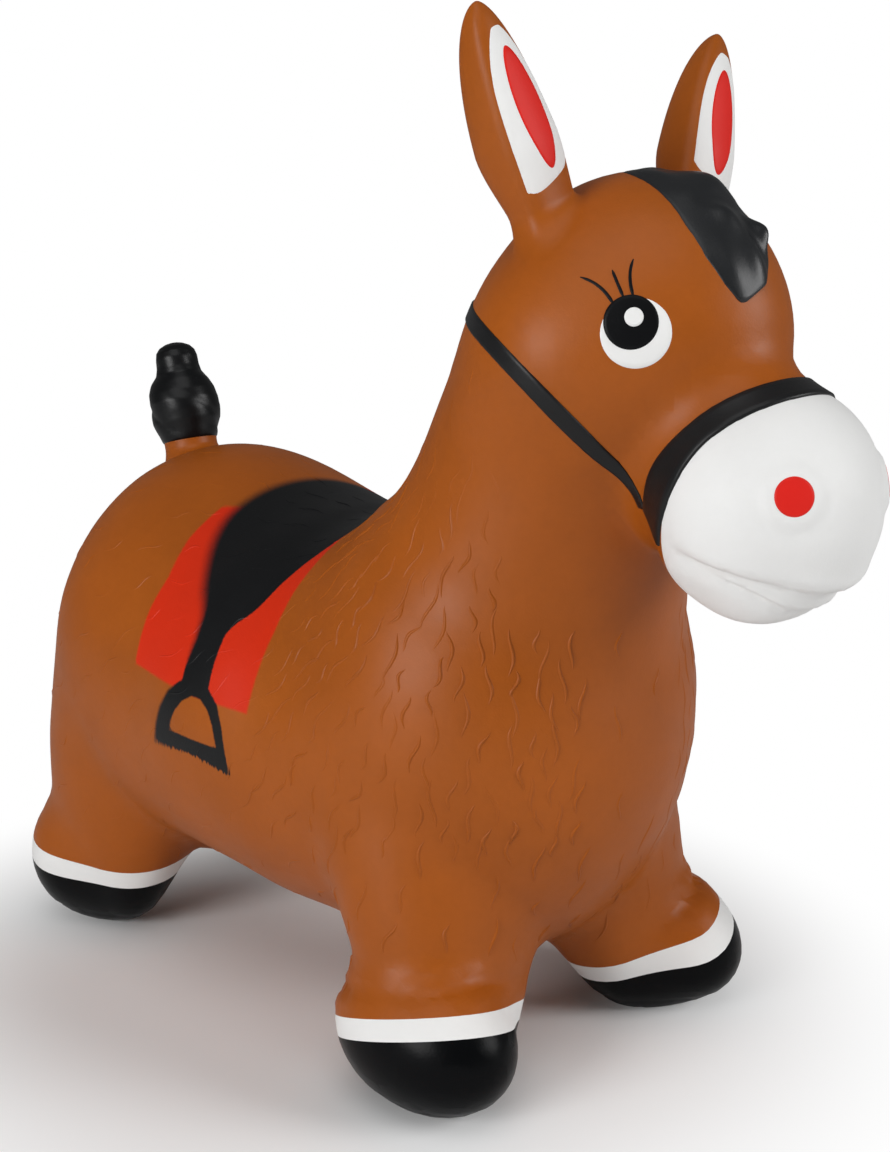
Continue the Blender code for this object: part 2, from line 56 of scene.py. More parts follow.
# The swollen form: centre, full size along, across and up, nose-up pitch in degrees, firmness
swell = dict(threshold=0.2, firm=2.0, cell=0.0026)
form = dict(  # a lump with a y has a twin on the other side
    rump=((-0.177, 0, 0.172), (0.210, 0.240, 0.264), 0, 2.0),
    belly=((-0.057, 0, 0.164), (0.328, 0.260, 0.222), -17, 2.0),
    chest=((0.060, 0, 0.185), (0.200, 0.228, 0.270), 0, 2.0),
    neck=((0.106, 0, 0.311), (0.140, 0.154, 0.226), -13, 2.0),
    skull=((0.143, 0, 0.379), (0.130, 0.170, 0.142), 0, 2.0),
    face=((0.159, 0, 0.393), (0.144, 0.116, 0.132), -45, 2.0),
    jaw=((0.197, 0, 0.338), (0.092, 0.080, 0.092), -40, 2.0),
    muzzle=((0.229, 0, 0.314), (0.104, 0.108, 0.112), -9, 2.0),
    frontLeg=((0.077, 0.067, 0.094), (0.080, 0.098, 0.195), 18, 2.0),
    groin=((-0.115, 0.092, 0.122), (0.140, 0.100, 0.120), 0, 0.14),
    frontHoof=((0.098, 0.092, 0.036), (0.110, 0.076, 0.076), -4, 2.0),
    rearLeg=((-0.201, 0.080, 0.093), (0.106, 0.072, 0.182), 0, 2.0),
    rearHoof=((-0.230, 0.081, 0.042), (0.082, 0.082, 0.088), 0, 2.0),
)
reach = math.sqrt(1 - (swell["threshold"] / swell["firm"]) ** (1 / 3))


def centreOf(lump):
    return np.array(form[lump][0])


def bodyLumps():
    for (x, y, z), size, pitch, firmness in form.values():
        turn = Quaternion((0, 1, 0), math.radians(-pitch))
        for side in (1, -1) if y else (1,):
            yield Vector((x, side * y, z)), Vector(size) / 2, turn, firmness


def addObject(name, data):
    made = bpy.data.objects.new(name, data)
    bpy.context.scene.collection.objects.link(made)
    return made


def swollenMesh(name, parts, cell):  # Blender's own metaballs give the mesh
    skin = bpy.data.metaballs.new(name)
    skin.resolution = skin.render_resolution = cell
    skin.threshold = swell["threshold"]
    for at, half, turn, firmness in parts:
        lump = skin.elements.new(type="ELLIPSOID")
        lump.co = at
        lump.radius = 1 / reach
        lump.size_x, lump.size_y, lump.size_z = half
        lump.stiffness = firmness
        lump.rotation = turn
    holder = addObject(name, skin)
    bpy.context.view_layer.update()
    evaluated = holder.evaluated_get(bpy.context.evaluated_depsgraph_get())
    mesh = bpy.data.meshes.new_from_object(evaluated)
    bpy.data.objects.remove(holder)
    bpy.data.metaballs.remove(skin)
    return mesh


skinLumps = [(np.array(at), np.array(half), np.array(turn.to_matrix()), firmness)
             for at, half, turn, firmness in bodyLumps()]


def fieldAt(points):  # above 0 inside the skin; the gradient points inwards
    value = np.full(len(points), -swell["threshold"])
    gradient = np.zeros_like(points)
    for at, half, turn, firmness in skinLumps:
        scaled = (points - at) @ turn / half * reach
        inside = np.clip(1 - (scaled * scaled).sum(1), 0, None)
        value += firmness * inside ** 3
        gradient += (-6 * firmness * inside ** 2)[:, None] * ((scaled * reach / half) @ turn.T)
    return value, gradient


def toSkin(points, steps=6, most=0.004):  # the nearest place on the smooth skin
    points = np.array(points, float)
    for _ in range(steps):
        value, gradient = fieldAt(points)
        move = gradient * (value / np.maximum((gradient ** 2).sum(1), tiny))[:, None]
        length = np.linalg.norm(move, axis=1)
        points = points - move * np.minimum(1, most / np.maximum(length, tiny))[:, None]
    return points


def unit(vectors):
    return vectors / np.maximum(np.linalg.norm(vectors, axis=-1, keepdims=True), tiny)


def outwards(points):
    return -unit(fieldAt(points)[1])


def castOut(starts, directions, far=0.22, samples=240):  # from inside the skin to where a ray leaves it
    starts, directions = np.broadcast_arrays(np.atleast_2d(starts), np.atleast_2d(directions))
    reachAlong = np.linspace(0, far, samples)
    points = starts[:, None, :] + directions[:, None, :] * reachAlong[None, :, None]
    value = fieldAt(points.reshape(-1, 3))[0].reshape(len(starts), samples)
    first = np.argmax(value < 0, axis=1)
    return toSkin(points[np.arange(len(starts)), first])


def inProfile(pitch):
    return np.array((math.cos(math.radians(pitch)), 0, math.sin(math.radians(pitch))))


def easing(low, high, x):
    t = np.clip((x - low) / (high - low), 0, 1)
    return t * t * (3 - 2 * t)


def between(low, high, share):
    return low + (high - low) * share


def bell(x, width):
    return np.exp(-(x / width) ** 2)


# Meshes and pieces

def gridFaces(rows, columns, wrap=False, flip=False):
    faces = []
    for row in range(rows - 1):
        for column in range(columns if wrap else columns - 1):
            after = (column + 1) % columns
            face = [row * columns + column, row * columns + after,
                    (row + 1) * columns + after, (row + 1) * columns + column]
            faces.append(face[::-1] if flip else face)
    return faces


def stripMesh(lines, flip=False):  # lines of points side by side
    return np.stack(lines, 1).reshape(-1, 3), gridFaces(len(lines[0]), len(lines), flip=flip)


def tubeMesh(loops, tip):  # closed at its end by a fan
    count = len(loops[0])
    verts = np.vstack(loops + [tip[None]])
    last = (len(loops) - 1) * count
    fan = [[last + i, last + (i + 1) % count, len(verts) - 1] for i in range(count)]
    return verts, gridFaces(len(loops), count, wrap=True) + fan


def discSpots(rings, segments, rim):  # share of the radius and angle, ring by ring, out to the rim
    shares = [(i + 1) / rings for i in range(rings)] + [rim]
    return [(share, math.tau * step / segments) for share in shares for step in range(segments)]


def discFaces(rings, segments):  # the first point is the middle
    fan = [[0, 1 + i, 1 + (i + 1) % segments] for i in range(segments)]
    return fan + [[i + 1 for i in face] for face in gridFaces(rings + 1, segments, wrap=True, flip=True)]


def addMesh(name, verts, faces):
    mesh = bpy.data.meshes.new(name)
    mesh.from_pydata([tuple(v) for v in verts], [], [tuple(f) for f in faces])
    mesh.shade_smooth()
    return mesh


def addPiece(name, mesh, material, body=None, replaces=()):
    piece = addObject(name, mesh)
    mesh.materials.clear()
    mesh.materials.append(material)
    if body:
        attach(piece, body)
    if replaces:
        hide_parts(*replaces)
    return piece


def mirrored(verts, faces, side):  # made on the right side, so the left one is turned over
    verts = np.array(verts, float)
    if side > 0:
        return verts * (1, -1, 1), [list(face)[::-1] for face in faces]
    return verts, faces


def joined(shapes):
    verts, faces, count = [], [], 0
    for someVerts, someFaces in shapes:
        verts.append(np.array(someVerts, float))
        faces += [[index + count for index in face] for face in someFaces]
        count += len(someVerts)
    return np.vstack(verts), faces


def vertexNormals(mesh):
    normals = np.zeros(len(mesh.vertices) * 3)
    mesh.vertex_normals.foreach_get("vector", normals)
    return normals.reshape(-1, 3)


def keepNormals(mesh, normals):
    mesh.normals_split_custom_set_from_vertices([tuple(n) for n in normals])


# Finishes: each noise is a scale and a detail
vinylNoise = dict(cloud=(22, 4), cloudShare=0.75, mottle=(260, 2), mottleShare=0.25, contrast=4.0,
                  rub=(60, 3), peel=(900, 2), middle=0.5)
sprayNoise = dict(speckle=(700, 3), speckleMiddle=0.5, streak=(900, 2), streakMiddle=0.55,
                  streakStretch=(1.0, 0.2, 0.06))


def newGroup(name, inputs, outputs):
    group = bpy.data.node_groups.new(name, "ShaderNodeTree")
    for label, kind, value in inputs:
        group.interface.new_socket(label, in_out="INPUT", socket_type=kind).default_value = value
    for label, kind in outputs:
        group.interface.new_socket(label, in_out="OUTPUT", socket_type=kind)
    return group, group.nodes.new("NodeGroupInput"), group.nodes.new("NodeGroupOutput")


def newNode(tree, kind, **settings):
    node = tree.nodes.new("ShaderNode" + kind)
    for name, value in settings.items():
        setattr(node, name, value)
    return node


def feed(tree, node, values):  # each socket by a link, or as a constant
    for label, value in values.items():
        if isinstance(value, bpy.types.NodeSocket):
            tree.links.new(value, node.inputs[label])
        else:
            node.inputs[label].default_value = value


def mathNode(tree, operation, first, second):
    node = newNode(tree, "Math", operation=operation)
    feed(tree, node, {0: first, 1: second})
    return node.outputs[0]


def noiseNode(tree, scale, detail, vector=None):
    node = newNode(tree, "TexNoise")
    vector = vector or newNode(tree, "TexCoord").outputs["Object"]
    feed(tree, node, {"Scale": scale, "Detail": detail, "Vector": vector})
    return node.outputs["Fac"]


def mixColour(tree, blend, factor, first, second):
    node = newNode(tree, "Mix", data_type="RGBA", blend_type=blend)
    feed(tree, node, {0: factor, 6: first, 7: second})  # where the node keeps its colour sockets
    return node.outputs[2]


def vinylGrainGroup():  # cloudy pigment, uneven gloss and the fine peel of moulded vinyl
    group, given, result = newGroup(
        "vinylGrain",
        [("Color", "NodeSocketColor", (0.5, 0.5, 0.5, 1)), ("Cloud", "NodeSocketFloat", 0.08),
         ("Gloss", "NodeSocketFloat", 0.4), ("Gloss Change", "NodeSocketFloat", 0.06)],
        [("Color", "NodeSocketColor"), ("Roughness", "NodeSocketFloat"), ("Height", "NodeSocketFloat")])
    cloud = mathNode(group, "MULTIPLY", noiseNode(group, *vinylNoise["cloud"]), vinylNoise["cloudShare"])
    mottle = mathNode(group, "MULTIPLY", noiseNode(group, *vinylNoise["mottle"]), vinylNoise["mottleShare"])
    uneven = mathNode(group, "SUBTRACT", mathNode(group, "ADD", cloud, mottle), vinylNoise["middle"])
    darker = mathNode(group, "MULTIPLY", uneven, given.outputs["Cloud"])
    level = mathNode(group, "ADD", mathNode(group, "MULTIPLY", darker, vinylNoise["contrast"]), 1.0)
    shade = newNode(group, "CombineColor")
    feed(group, shade, {0: level, 1: level, 2: level})
    tinted = mixColour(group, "MULTIPLY", 1.0, given.outputs["Color"], shade.outputs[0])
    rub = mathNode(group, "SUBTRACT", noiseNode(group, *vinylNoise["rub"]), vinylNoise["middle"])
    swing = mathNode(group, "MULTIPLY", rub, given.outputs["Gloss Change"])
    rough = mathNode(group, "ADD", given.outputs["Gloss"], swing)
    peel = noiseNode(group, *vinylNoise["peel"])
    feed(group, result, {"Color": tinted, "Roughness": rough, "Height": peel})
    return group


def sprayMaskGroup():  # from a distance to a stencil's edge, below 0 inside, to how much paint is there
    group, given, result = newGroup(
        "sprayMask",
        [("Distance", "NodeSocketFloat", 0.0), ("Softness", "NodeSocketFloat", 0.001),
         ("Speckle", "NodeSocketFloat", 0.0004), ("Streak", "NodeSocketFloat", 0.0)],
        [("Mask", "NodeSocketFloat")])
    upright = newNode(group, "Mapping")
    place = newNode(group, "TexCoord").outputs["Object"]
    feed(group, upright, {"Vector": place, "Scale": sprayNoise["streakStretch"]})
    streak = noiseNode(group, *sprayNoise["streak"], upright.outputs["Vector"])
    streak = mathNode(group, "SUBTRACT", streak, sprayNoise["streakMiddle"])
    streak = mathNode(group, "MULTIPLY", streak, given.outputs["Streak"])
    speckle = noiseNode(group, *sprayNoise["speckle"])
    speckle = mathNode(group, "SUBTRACT", speckle, sprayNoise["speckleMiddle"])
    speckle = mathNode(group, "MULTIPLY", speckle, given.outputs["Speckle"])
    ragged = mathNode(group, "ADD", given.outputs["Distance"], mathNode(group, "ADD", speckle, streak))
    edge = newNode(group, "MapRange", interpolation_type="SMOOTHSTEP")
    soft = given.outputs["Softness"]
    feed(group, edge, {"Value": ragged, "From Min": mathNode(group, "MULTIPLY", soft, -1.0), "From Max": soft,
                       "To Min": 1.0, "To Max": 0.0})
    feed(group, result, {"Mask": edge.outputs["Result"]})
    return group


vinylGrain = vinylGrainGroup()
sprayMask = sprayMaskGroup()
# The halter and hair blacks are lighter than black and hoof: partly their paints' own tone, partly painted
# sheen standing in for their glossy highlights
colours = dict(brown=(0.335, 0.079, 0.005), black=(0.004, 0.0043, 0.005), hoof=(0.0022, 0.0025, 0.003),
               halter=(0.009, 0.009, 0.0095), hair=(0.011, 0.012, 0.0135), white=(0.80, 0.80, 0.79),
               red=(0.61, 0.023, 0.002), signalRed=(0.68, 0.018, 0.012), milky=(0.72, 0.72, 0.68))


def newMaterial(name):
    material = bpy.data.materials.new(name)
    material.use_nodes = True
    return material, material.node_tree, material.node_tree.nodes["Principled BSDF"]


def vinyl(name, colour, gloss, cloud=0.05, glossChange=0.08, peel=0.00006, shine=0.35):
    material, tree, shader = newMaterial(name)
    grain = newNode(tree, "Group", node_tree=vinylGrain)
    bump = newNode(tree, "Bump")
    feed(tree, grain, {"Color": (*colours[colour], 1), "Cloud": cloud, "Gloss": gloss,
                       "Gloss Change": glossChange})
    feed(tree, bump, {"Distance": peel, "Height": grain.outputs["Height"]})
    feed(tree, shader, {"Base Color": grain.outputs["Color"], "Roughness": grain.outputs["Roughness"],
                        "Normal": bump.outputs["Normal"], "Specular IOR Level": shine})
    return material


def layerOf(tree, name):
    return newNode(tree, "Attribute", attribute_name=name).outputs["Fac"]


def sprayOver(material, colour, edge, softness, speckle, streak=0.0):  # each is a number or a layer's name
    tree = material.node_tree
    shader = tree.nodes["Principled BSDF"]
    below = shader.inputs["Base Color"].links[0].from_socket
    mask = newNode(tree, "Group", node_tree=sprayMask)
    spray = dict(Distance=edge, Softness=softness, Speckle=speckle, Streak=streak)
    feed(tree, mask, {label: layerOf(tree, value) if isinstance(value, str) else value
                      for label, value in spray.items()})
    painted = mixColour(tree, "MIX", mask.outputs["Mask"], below, (*colours[colour], 1))
    feed(tree, shader, {"Base Color": painted})


brownSkin, brownBare = [vinyl(name, "brown", 0.43, cloud=0.10, glossChange=0.12, shine=0.24)
                        for name in ("brownSkin", "brownBare")]
sprayOver(brownSkin, "red", "blanketEdge", 0.0012, 0.0008)
sprayOver(brownSkin, "black", "saddleEdge", "saddleSoft", 0.0010, "saddleStreak")
whitePaint = vinyl("whitePaint", "white", 0.50, cloud=0.02, shine=0.15)
# the straps' lighter black is partly their paint, partly a painted reflection of their sheen
strapBlackAndSheen = vinyl("strapBlackAndSheen", "halter", 0.36, cloud=0.10, shine=0.24)
# the hair's lighter, bluish black is partly its paint, partly a painted sheen for its broad highlights
blackHairAndSheen = vinyl("blackHairAndSheen", "hair", 0.36, cloud=0.10, shine=0.36)
blackPaint = vinyl("blackPaint", "black", 0.38, shine=0.10)
hoofPaint = vinyl("hoofPaint", "hoof", 0.30, shine=0.08)
tailPaint = vinyl("tailPaint", "hoof", 0.34, shine=0.26)
redPaint = vinyl("redPaint", "signalRed", 0.45, cloud=0.04, shine=0.15)
milkyVinyl = vinyl("milkyVinyl", "milky", 0.38, cloud=0.04)
print("finishes made:", len(bpy.data.node_groups), "shared groups")

# Paint lines across the form, as planes
noseband = dict(pitch=-40, behind=0.0205, muzzleDrop=0.066, snoutFrom=0.15, turn=150, steps=150, drop=0.0295,
                high=0.0014, bowAt=0.019, bowBack=-0.0073, bowAbove=6.3, bowBelow=4.0, halfTop=0.0067,
                halfLow=0.0102, narrowing=(-0.015, 0.025), edge=0.13)
noseNormal = inProfile(noseband["pitch"])
noseUp = inProfile(noseband["pitch"] + 90)
noseCentre = centreOf("muzzle") - noseNormal * noseband["behind"]
whiteEdges = ((-0.0015, 0.0), (-0.0036, 0.54))  # the white starts under the noseband: how far ahead, and lean
hoofBands = dict(  # a plane's height and slopes; a second plane, inner, on the sides that have one
    front=dict(hoof="frontHoof", height=0.048, forward=0.32, outward=0.20, width=0.0105, fold=0.0021,
               foldAt=0.0125, inner=(0.0775, -0.34, 0.60), innerSides=(1,)),  # the left one is lower inside
    rear=dict(hoof="rearHoof", height=0.0575, forward=-0.11, outward=-0.17, width=0.0125, fold=0.0004,
              foldAt=0.0120, inner=(0.1170, -0.11, 1.7), innerSides=(1, -1)),  # both dive below the crotch
)
hoofRoom = (0.081, 0.072, 0.14)


def eachFoot():
    return [(band, side) for band in hoofBands.values() for side in sides.values()]


def softMax(first, second, melt=0.006):  # the larger of two, rounded where they meet
    return np.maximum(first, second) + melt * np.log1p(np.exp(-abs(first - second) / melt))


def bandPlanes(band, side):
    x, y, _ = form[band["hoof"]][0]
    slopes = [(band["height"], band["forward"], band["outward"])]
    if side in band["innerSides"]:
        slopes.append(band["inner"])
    return [(np.array((x, side * y, height)), unit(np.array((-forward, -side * outward, 1.0))))
            for height, forward, outward in slopes]


def aboveBand(points, band, side):  # below 0 where paint is
    heights = [(points - at) @ normal for at, normal in bandPlanes(band, side)]
    return softMax(*heights) if len(heights) > 1 else heights[0]


def nearHoof(points, band, side):
    x, y, _ = form[band["hoof"]][0]
    return (abs(points - np.array((x, side * y, 0))) < hoofRoom).all(1)


def pastNoseband(points):  # above 0 on the white side
    behind = [(noseCentre + noseNormal * ahead - points) @ unit(noseNormal + lean * noseUp)
              for ahead, lean in whiteEdges]
    return -softMax(*behind)


def nearSnout(points):
    up = (points - noseCentre) @ noseUp
    return (up > -noseband["muzzleDrop"]) & (points[:, 0] > noseband["snoutFrom"])


valve = dict(gap=0.0002, near=0.02)
seatLow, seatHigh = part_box("valve_seat")
valveMiddle = (seatLow[0] + seatHigh[0]) / 2
valveRadius = (seatHigh[1] - seatLow[1]) / 2 + valve["gap"]


def pastValve(points):  # below 0 where the valve goes through the skin
    return np.hypot(points[:, 0] - valveMiddle, points[:, 1]) - valveRadius


def nearValve(points):
    return (pastValve(points) < valve["near"]) & (points[:, 2] < seatHigh[2] + valve["near"])


def zoneOf(points):  # 0 body, 1 muzzle, then band and hoof for each leg, -1 the valve's hole
    zone = np.zeros(len(points), int)
    zone[nearValve(points) & (pastValve(points) < 0)] = -1
    zone[nearSnout(points) & (pastNoseband(points) > 0)] = 1
    for leg, (band, side) in enumerate(eachFoot()):
        above = aboveBand(points, band, side)
        near = nearHoof(points, band, side)
        zone[near & (above < 0)] = 2 + 2 * leg
        zone[near & (above < -band["width"])] = 3 + 2 * leg
    return zone


# Relief moulded into the skin
ripple = dict(height=0.00025, along=61, bend=2.1, bendUp=43, up=57, across=19)
nostril = dict(at=(0.2674, -0.0352, 0.3247), boss=0.0160, edge=0.0052, lift=0.0014, dot=0.0085, groove=0.15,
               grooveWidth=0.002)
mouth = dict(centre=0.229, corner=(91, 111), upper=0.2772, upperRise=0.00006, upperBend=0.0000010, lip=0.0016,
             lipWidth=0.0045, step=0.0028, stepEdge=(-0.0012, 0.0016), under=0.013, lower=0.2715,
             lowerBend=0.0000022, lowerDrop=0.0045, lowerEnds=(74, 98), uneven=0.2, unevenTurns=0.35,
             crease=0.0020, creaseEdge=(-0.001, 0.0012), creaseWidth=0.005, brim=0.5, brimWidth=0.002,
             drawnIn=0.0035, drawnAside=(0.015, 0.038), drawnAhead=(0.002, 0.020), drawnBelow=(-0.006, 0.012))
ankle = dict(uneven=0.35, deepest=1.2, fade=(0.045, 0.068), waver=0.0018, waverTurn=0.4, pad=0.5, padAt=0.45,
             padWidth=0.0045, slit=0.0024, roll=0.5, rollAt=0.0055, rollWidth=0.003,
             soleLine=0.0007, soleLineAt=0.0085, soleLineWidth=0.0011)


def mouldNostrils(points, lift):
    for side in sides.values():
        away = np.linalg.norm(points - np.array(nostril["at"]) * (1, -side, 1), axis=1)
        lift += nostril["lift"] * (1 - easing(nostril["boss"] - nostril["edge"], nostril["boss"], away))
        groove = bell(away - nostril["boss"] - nostril["grooveWidth"], nostril["grooveWidth"])
        lift -= nostril["groove"] * nostril["lift"] * groove


def mouldMouth(points, lift):
    around = np.degrees(np.arctan2(abs(points[:, 1]), points[:, 0] - mouth["centre"]))
    onSnout = nearSnout(points) & ((points - noseCentre) @ noseNormal > 0)
    upTo = onSnout * (1 - easing(*mouth["corner"], around))
    above = points[:, 2] - mouth["upper"] - mouth["upperRise"] * around - mouth["upperBend"] * around ** 2
    lift += upTo * mouth["lip"] * bell(above - mouth["lipWidth"], mouth["lipWidth"])
    lift -= (upTo * mouth["step"] * (1 - easing(*mouth["stepEdge"], above))
             * bell(np.minimum(above, 0), mouth["under"]))
    chin = points[:, 2] - mouth["lower"] - mouth["lowerBend"] * around ** 2 + mouth["lowerDrop"]
    drawn = (mouth["drawnIn"] * easing(*mouth["drawnAside"], abs(points[:, 1]))
             * easing(*mouth["drawnAhead"], pastNoseband(points)))
    lift -= nearSnout(points) * drawn * (1 - easing(*mouth["drawnBelow"], above))
    inner = (onSnout * (1 - easing(*mouth["lowerEnds"], around))
             * (1 - mouth["uneven"] + mouth["uneven"] * np.sin(mouth["unevenTurns"] * around)))
    lift -= (inner * mouth["crease"] * (1 - easing(*mouth["creaseEdge"], chin))
             * bell(np.minimum(chin, 0), mouth["creaseWidth"]))
    lift += inner * mouth["brim"] * mouth["crease"] * bell(chin - mouth["brimWidth"], mouth["brimWidth"])


def mouldAnkles(points, lift):
    for band, side in eachFoot():
        at, _ = bandPlanes(band, side)[0]
        height = aboveBand(points, band, side)
        near = nearHoof(points, band, side)
        heading = np.arctan2(points[:, 1] - at[1], points[:, 0] - at[0])
        share = 1 - ankle["uneven"] + ankle["uneven"] * np.sin(2 * heading + ankle["deepest"])
        fold = band["fold"] * share * near
        fold = fold * (1 - easing(*ankle["fade"], abs(points[:, 1] - at[1])))
        wave = band["foldAt"] + ankle["waver"] * np.sin(heading * 2 + ankle["waverTurn"])
        pad = ankle["pad"] * bell(height - ankle["padAt"] * wave, ankle["padWidth"])
        lift += fold * (pad - bell(height - wave, ankle["slit"]))
        lift += fold * ankle["roll"] * bell(height - wave - ankle["rollAt"], ankle["rollWidth"])
        lift -= ankle["soleLine"] * near * bell(points[:, 2] - ankle["soleLineAt"], ankle["soleLineWidth"])


def relief(points):
    x, y, z = points.T
    lift = (ripple["height"] * np.sin(ripple["along"] * x + ripple["bend"] * np.sin(ripple["bendUp"] * z))
            * np.cos(ripple["up"] * z + ripple["across"] * y))
    mouldNostrils(points, lift)
    mouldMouth(points, lift)
    mouldAnkles(points, lift)
    return lift


# Saddle, blanket and stirrup, sprayed on each flank: outlines seen from the side, x and z
saddle = dict(
    seat=((-0.062, 0.221), (-0.065, 0.231), (-0.080, 0.243), (-0.099, 0.261), (-0.110, 0.280),
          (-0.111, 0.340), (0.006, 0.340), (0.000, 0.292), (-0.021, 0.266), (-0.028, 0.250), (-0.031, 0.235),
          (-0.041, 0.226), (-0.042, 0.215), (-0.060, 0.212)),
    strap=((-0.0615, 0.224), (-0.0600, 0.192), (-0.0380, 0.190), (-0.0415, 0.224)),
    stirrup=((-0.0835, 0.1572), (-0.0822, 0.1680), (-0.0785, 0.1785), (-0.0715, 0.1890), (-0.0620, 0.1960),
             (-0.0500, 0.1985), (-0.0390, 0.1960), (-0.0300, 0.1885), (-0.0240, 0.1770), (-0.0172, 0.1528),
             (-0.0490, 0.1590)),
    opening=((-0.0672, 0.1680), (-0.0660, 0.1735), (-0.0625, 0.1800), (-0.0570, 0.1860), (-0.0500, 0.1898),
             (-0.0430, 0.1895), (-0.0360, 0.1845), (-0.0310, 0.1770), (-0.0270, 0.1660)),
    blanket=((-0.1115, 0.1955), (-0.1115, 0.2270), (-0.1100, 0.2420), (-0.1150, 0.2620), (-0.1150, 0.2780),
             (-0.0160, 0.2780), (-0.0140, 0.2460), (-0.0105, 0.2280), (-0.0095, 0.1870)),
    lowest=0.13, away=0.05, crisp=0.0006, fineWithin=0.004, fineBlanket=0.003,
    blurred=0.0046, blurredBehind=(-0.072, -0.046), blurredAbove=(0.200, 0.215),
    overspray=0.0019, oversprayBehind=(-0.078, -0.060), oversprayBelow=(0.196, 0.206),
    streak=0.0060, streakBelow=(0.158, 0.163),
)


def rounded(outline, times=3):  # corners cut again and again
    points = np.array(outline, float)
    for _ in range(times):
        after = np.roll(points, -1, axis=0)
        points = np.stack((points * 0.75 + after * 0.25, points * 0.25 + after * 0.75), 1).reshape(-1, 2)
    return points


def outlineDistance(spots, outline):  # below 0 inside
    best = np.full(len(spots), 1.0)
    crossings = np.zeros(len(spots), int)
    for first, second in zip(outline, np.roll(outline, -1, axis=0)):
        along = second - first
        t = np.clip(((spots - first) @ along) / (along @ along), 0, 1)
        best = np.minimum(best, np.linalg.norm(spots - first - t[:, None] * along, axis=1))
        spans = (first[1] > spots[:, 1]) != (second[1] > spots[:, 1])
        rise = along[1] if abs(along[1]) > tiny else tiny
        crossings += spans & (spots[:, 0] < first[0] + (spots[:, 1] - first[1]) * along[0] / rise)
    return np.where(crossings % 2 == 1, -best, best)


def flankDistances(points):  # to the edge of the black, and of the blanket
    spots = points[:, [0, 2]]
    seat = outlineDistance(spots, rounded(saddle["seat"]))
    strap, stirrup, opening, blanket = [outlineDistance(spots, np.array(saddle[name]))
                                        for name in ("strap", "stirrup", "opening", "blanket")]
    black = np.minimum(np.minimum(seat, strap), np.maximum(stirrup, -opening))
    offFlank = np.where(points[:, 2] > saddle["lowest"], 0.0, saddle["away"])
    return black + offFlank, blanket + offFlank


def cutAlong(bm, level, near, foot=(), down=0.0):  # new edges where the level crosses 0
    bm.verts.ensure_lookup_table()
    bm.verts.index_update()
    bm.edges.ensure_lookup_table()
    points = np.array([vert.co for vert in bm.verts])
    height = level(points, *foot) + down
    ends = np.array([[vert.index for vert in edge.verts] for edge in bm.edges])
    first, second = height[ends].T
    crossed = (first * second < 0) & near(points[ends].mean(1), *foot)
    onLine = {}  # a dictionary keeps the order
    for edge, low, high in [(bm.edges[int(i)], first[i], second[i]) for i in np.nonzero(crossed)[0]]:
        onLine[bmesh.utils.edge_split(edge, edge.verts[0], low / (low - high))[1]] = True
    for face in dict.fromkeys(face for vert in onLine for face in vert.link_faces):
        cut = [vert for vert in face.verts if vert in onLine]
        if len(cut) == 2:
            bmesh.utils.face_split(face, *cut)


def faceCentres(bm):
    return np.array([face.calc_center_median() for face in bm.faces])


def fineForm():
    mesh = swollenMesh("form", bodyLumps(), swell["cell"])
    bm = bmesh.new()
    bm.from_mesh(mesh)
    bm.faces.ensure_lookup_table()
    centres = faceCentres(bm)
    black, blanket = flankDistances(centres)
    sprayed = (abs(black) < saddle["fineWithin"]) | (abs(blanket) < saddle["fineBlanket"])
    fine = np.nonzero((zoneOf(centres) == 1) | sprayed)[0]
    edges = [edge for i in fine for edge in bm.faces[int(i)].edges]
    bmesh.ops.subdivide_edges(bm, edges=list(dict.fromkeys(edges)), cuts=1, use_grid_fill=True)
    cutAlong(bm, pastNoseband, nearSnout)
    cutAlong(bm, pastValve, nearValve)
    for band, side in eachFoot():
        for down in (0.0, band["width"]):
            cutAlong(bm, aboveBand, nearHoof, (band, side), down)
    zones = zoneOf(faceCentres(bm))
    bm.to_mesh(mesh)
    bm.free()
    points = np.zeros(len(mesh.vertices) * 3)
    mesh.vertices.foreach_get("co", points)
    points = toSkin(points.reshape(-1, 3))
    points = points + outwards(points) * relief(points)[:, None]
    points[:, 2] = np.maximum(points[:, 2], 0.0)  # flat soles
    mesh.vertices.foreach_set("co", points.ravel())
    mesh.update()
    return mesh, points, zones


formMesh, formPoints, formZones = fineForm()
formNormals = vertexNormals(formMesh)
formFaces = [list(polygon.vertices) for polygon in formMesh.polygons]
print("form:", len(formFaces), "faces")


# Short strokes of hair, embossed all over the coat; width and height are for flank and chest
strokes = dict(seed=11, tries=9000, length=(0.012, 0.026), steps=11, width=(0.00100, 0.00130),
               height=(0.00056, 0.00110), chest=(-0.03, 0.05), uneven=(0.55, 1.15), leftFrom=0.03,
               leftShare=0.5, neck=(0.26, 0.33), neckLoss=0.6, sway=0.0016, waves=0.85, turn=0.12, taper=0.55,
               blunt=0.02, sink=0.00012, lowest=0.03, highest=0.37, chinFrom=0.13, chinLow=0.245,
               overBand=0.024,
               back=((-0.2, 1.5), (-0.05, 1.1), (0.05, 0.55), (0.12, 0.05)),  # x, and slope backwards there
               section=((-1.0, -0.1), (-0.5, 0.32), (0.0, 1.0), (0.5, 0.32), (1.0, -0.1)))


def strokeGap(points):  # how far apart strokes stand; the first place that fits counts
    x, y, z = points.T
    places = (
        (z > 0.33, 0.026),  # head and upper neck
        (x < -0.14, 0.023),  # rump
        ((z < 0.13) & (x > 0), 0.018),  # front legs
        (z < 0.13, 0.026),  # belly and rear legs
        ((abs(y) < 0.035) & (x > 0.08), 0.030),  # middle of the chest
        (x > 0, 0.0105),  # shoulders
        (x <= 0, 0.017),  # flanks
    )
    return np.select(*zip(*places))


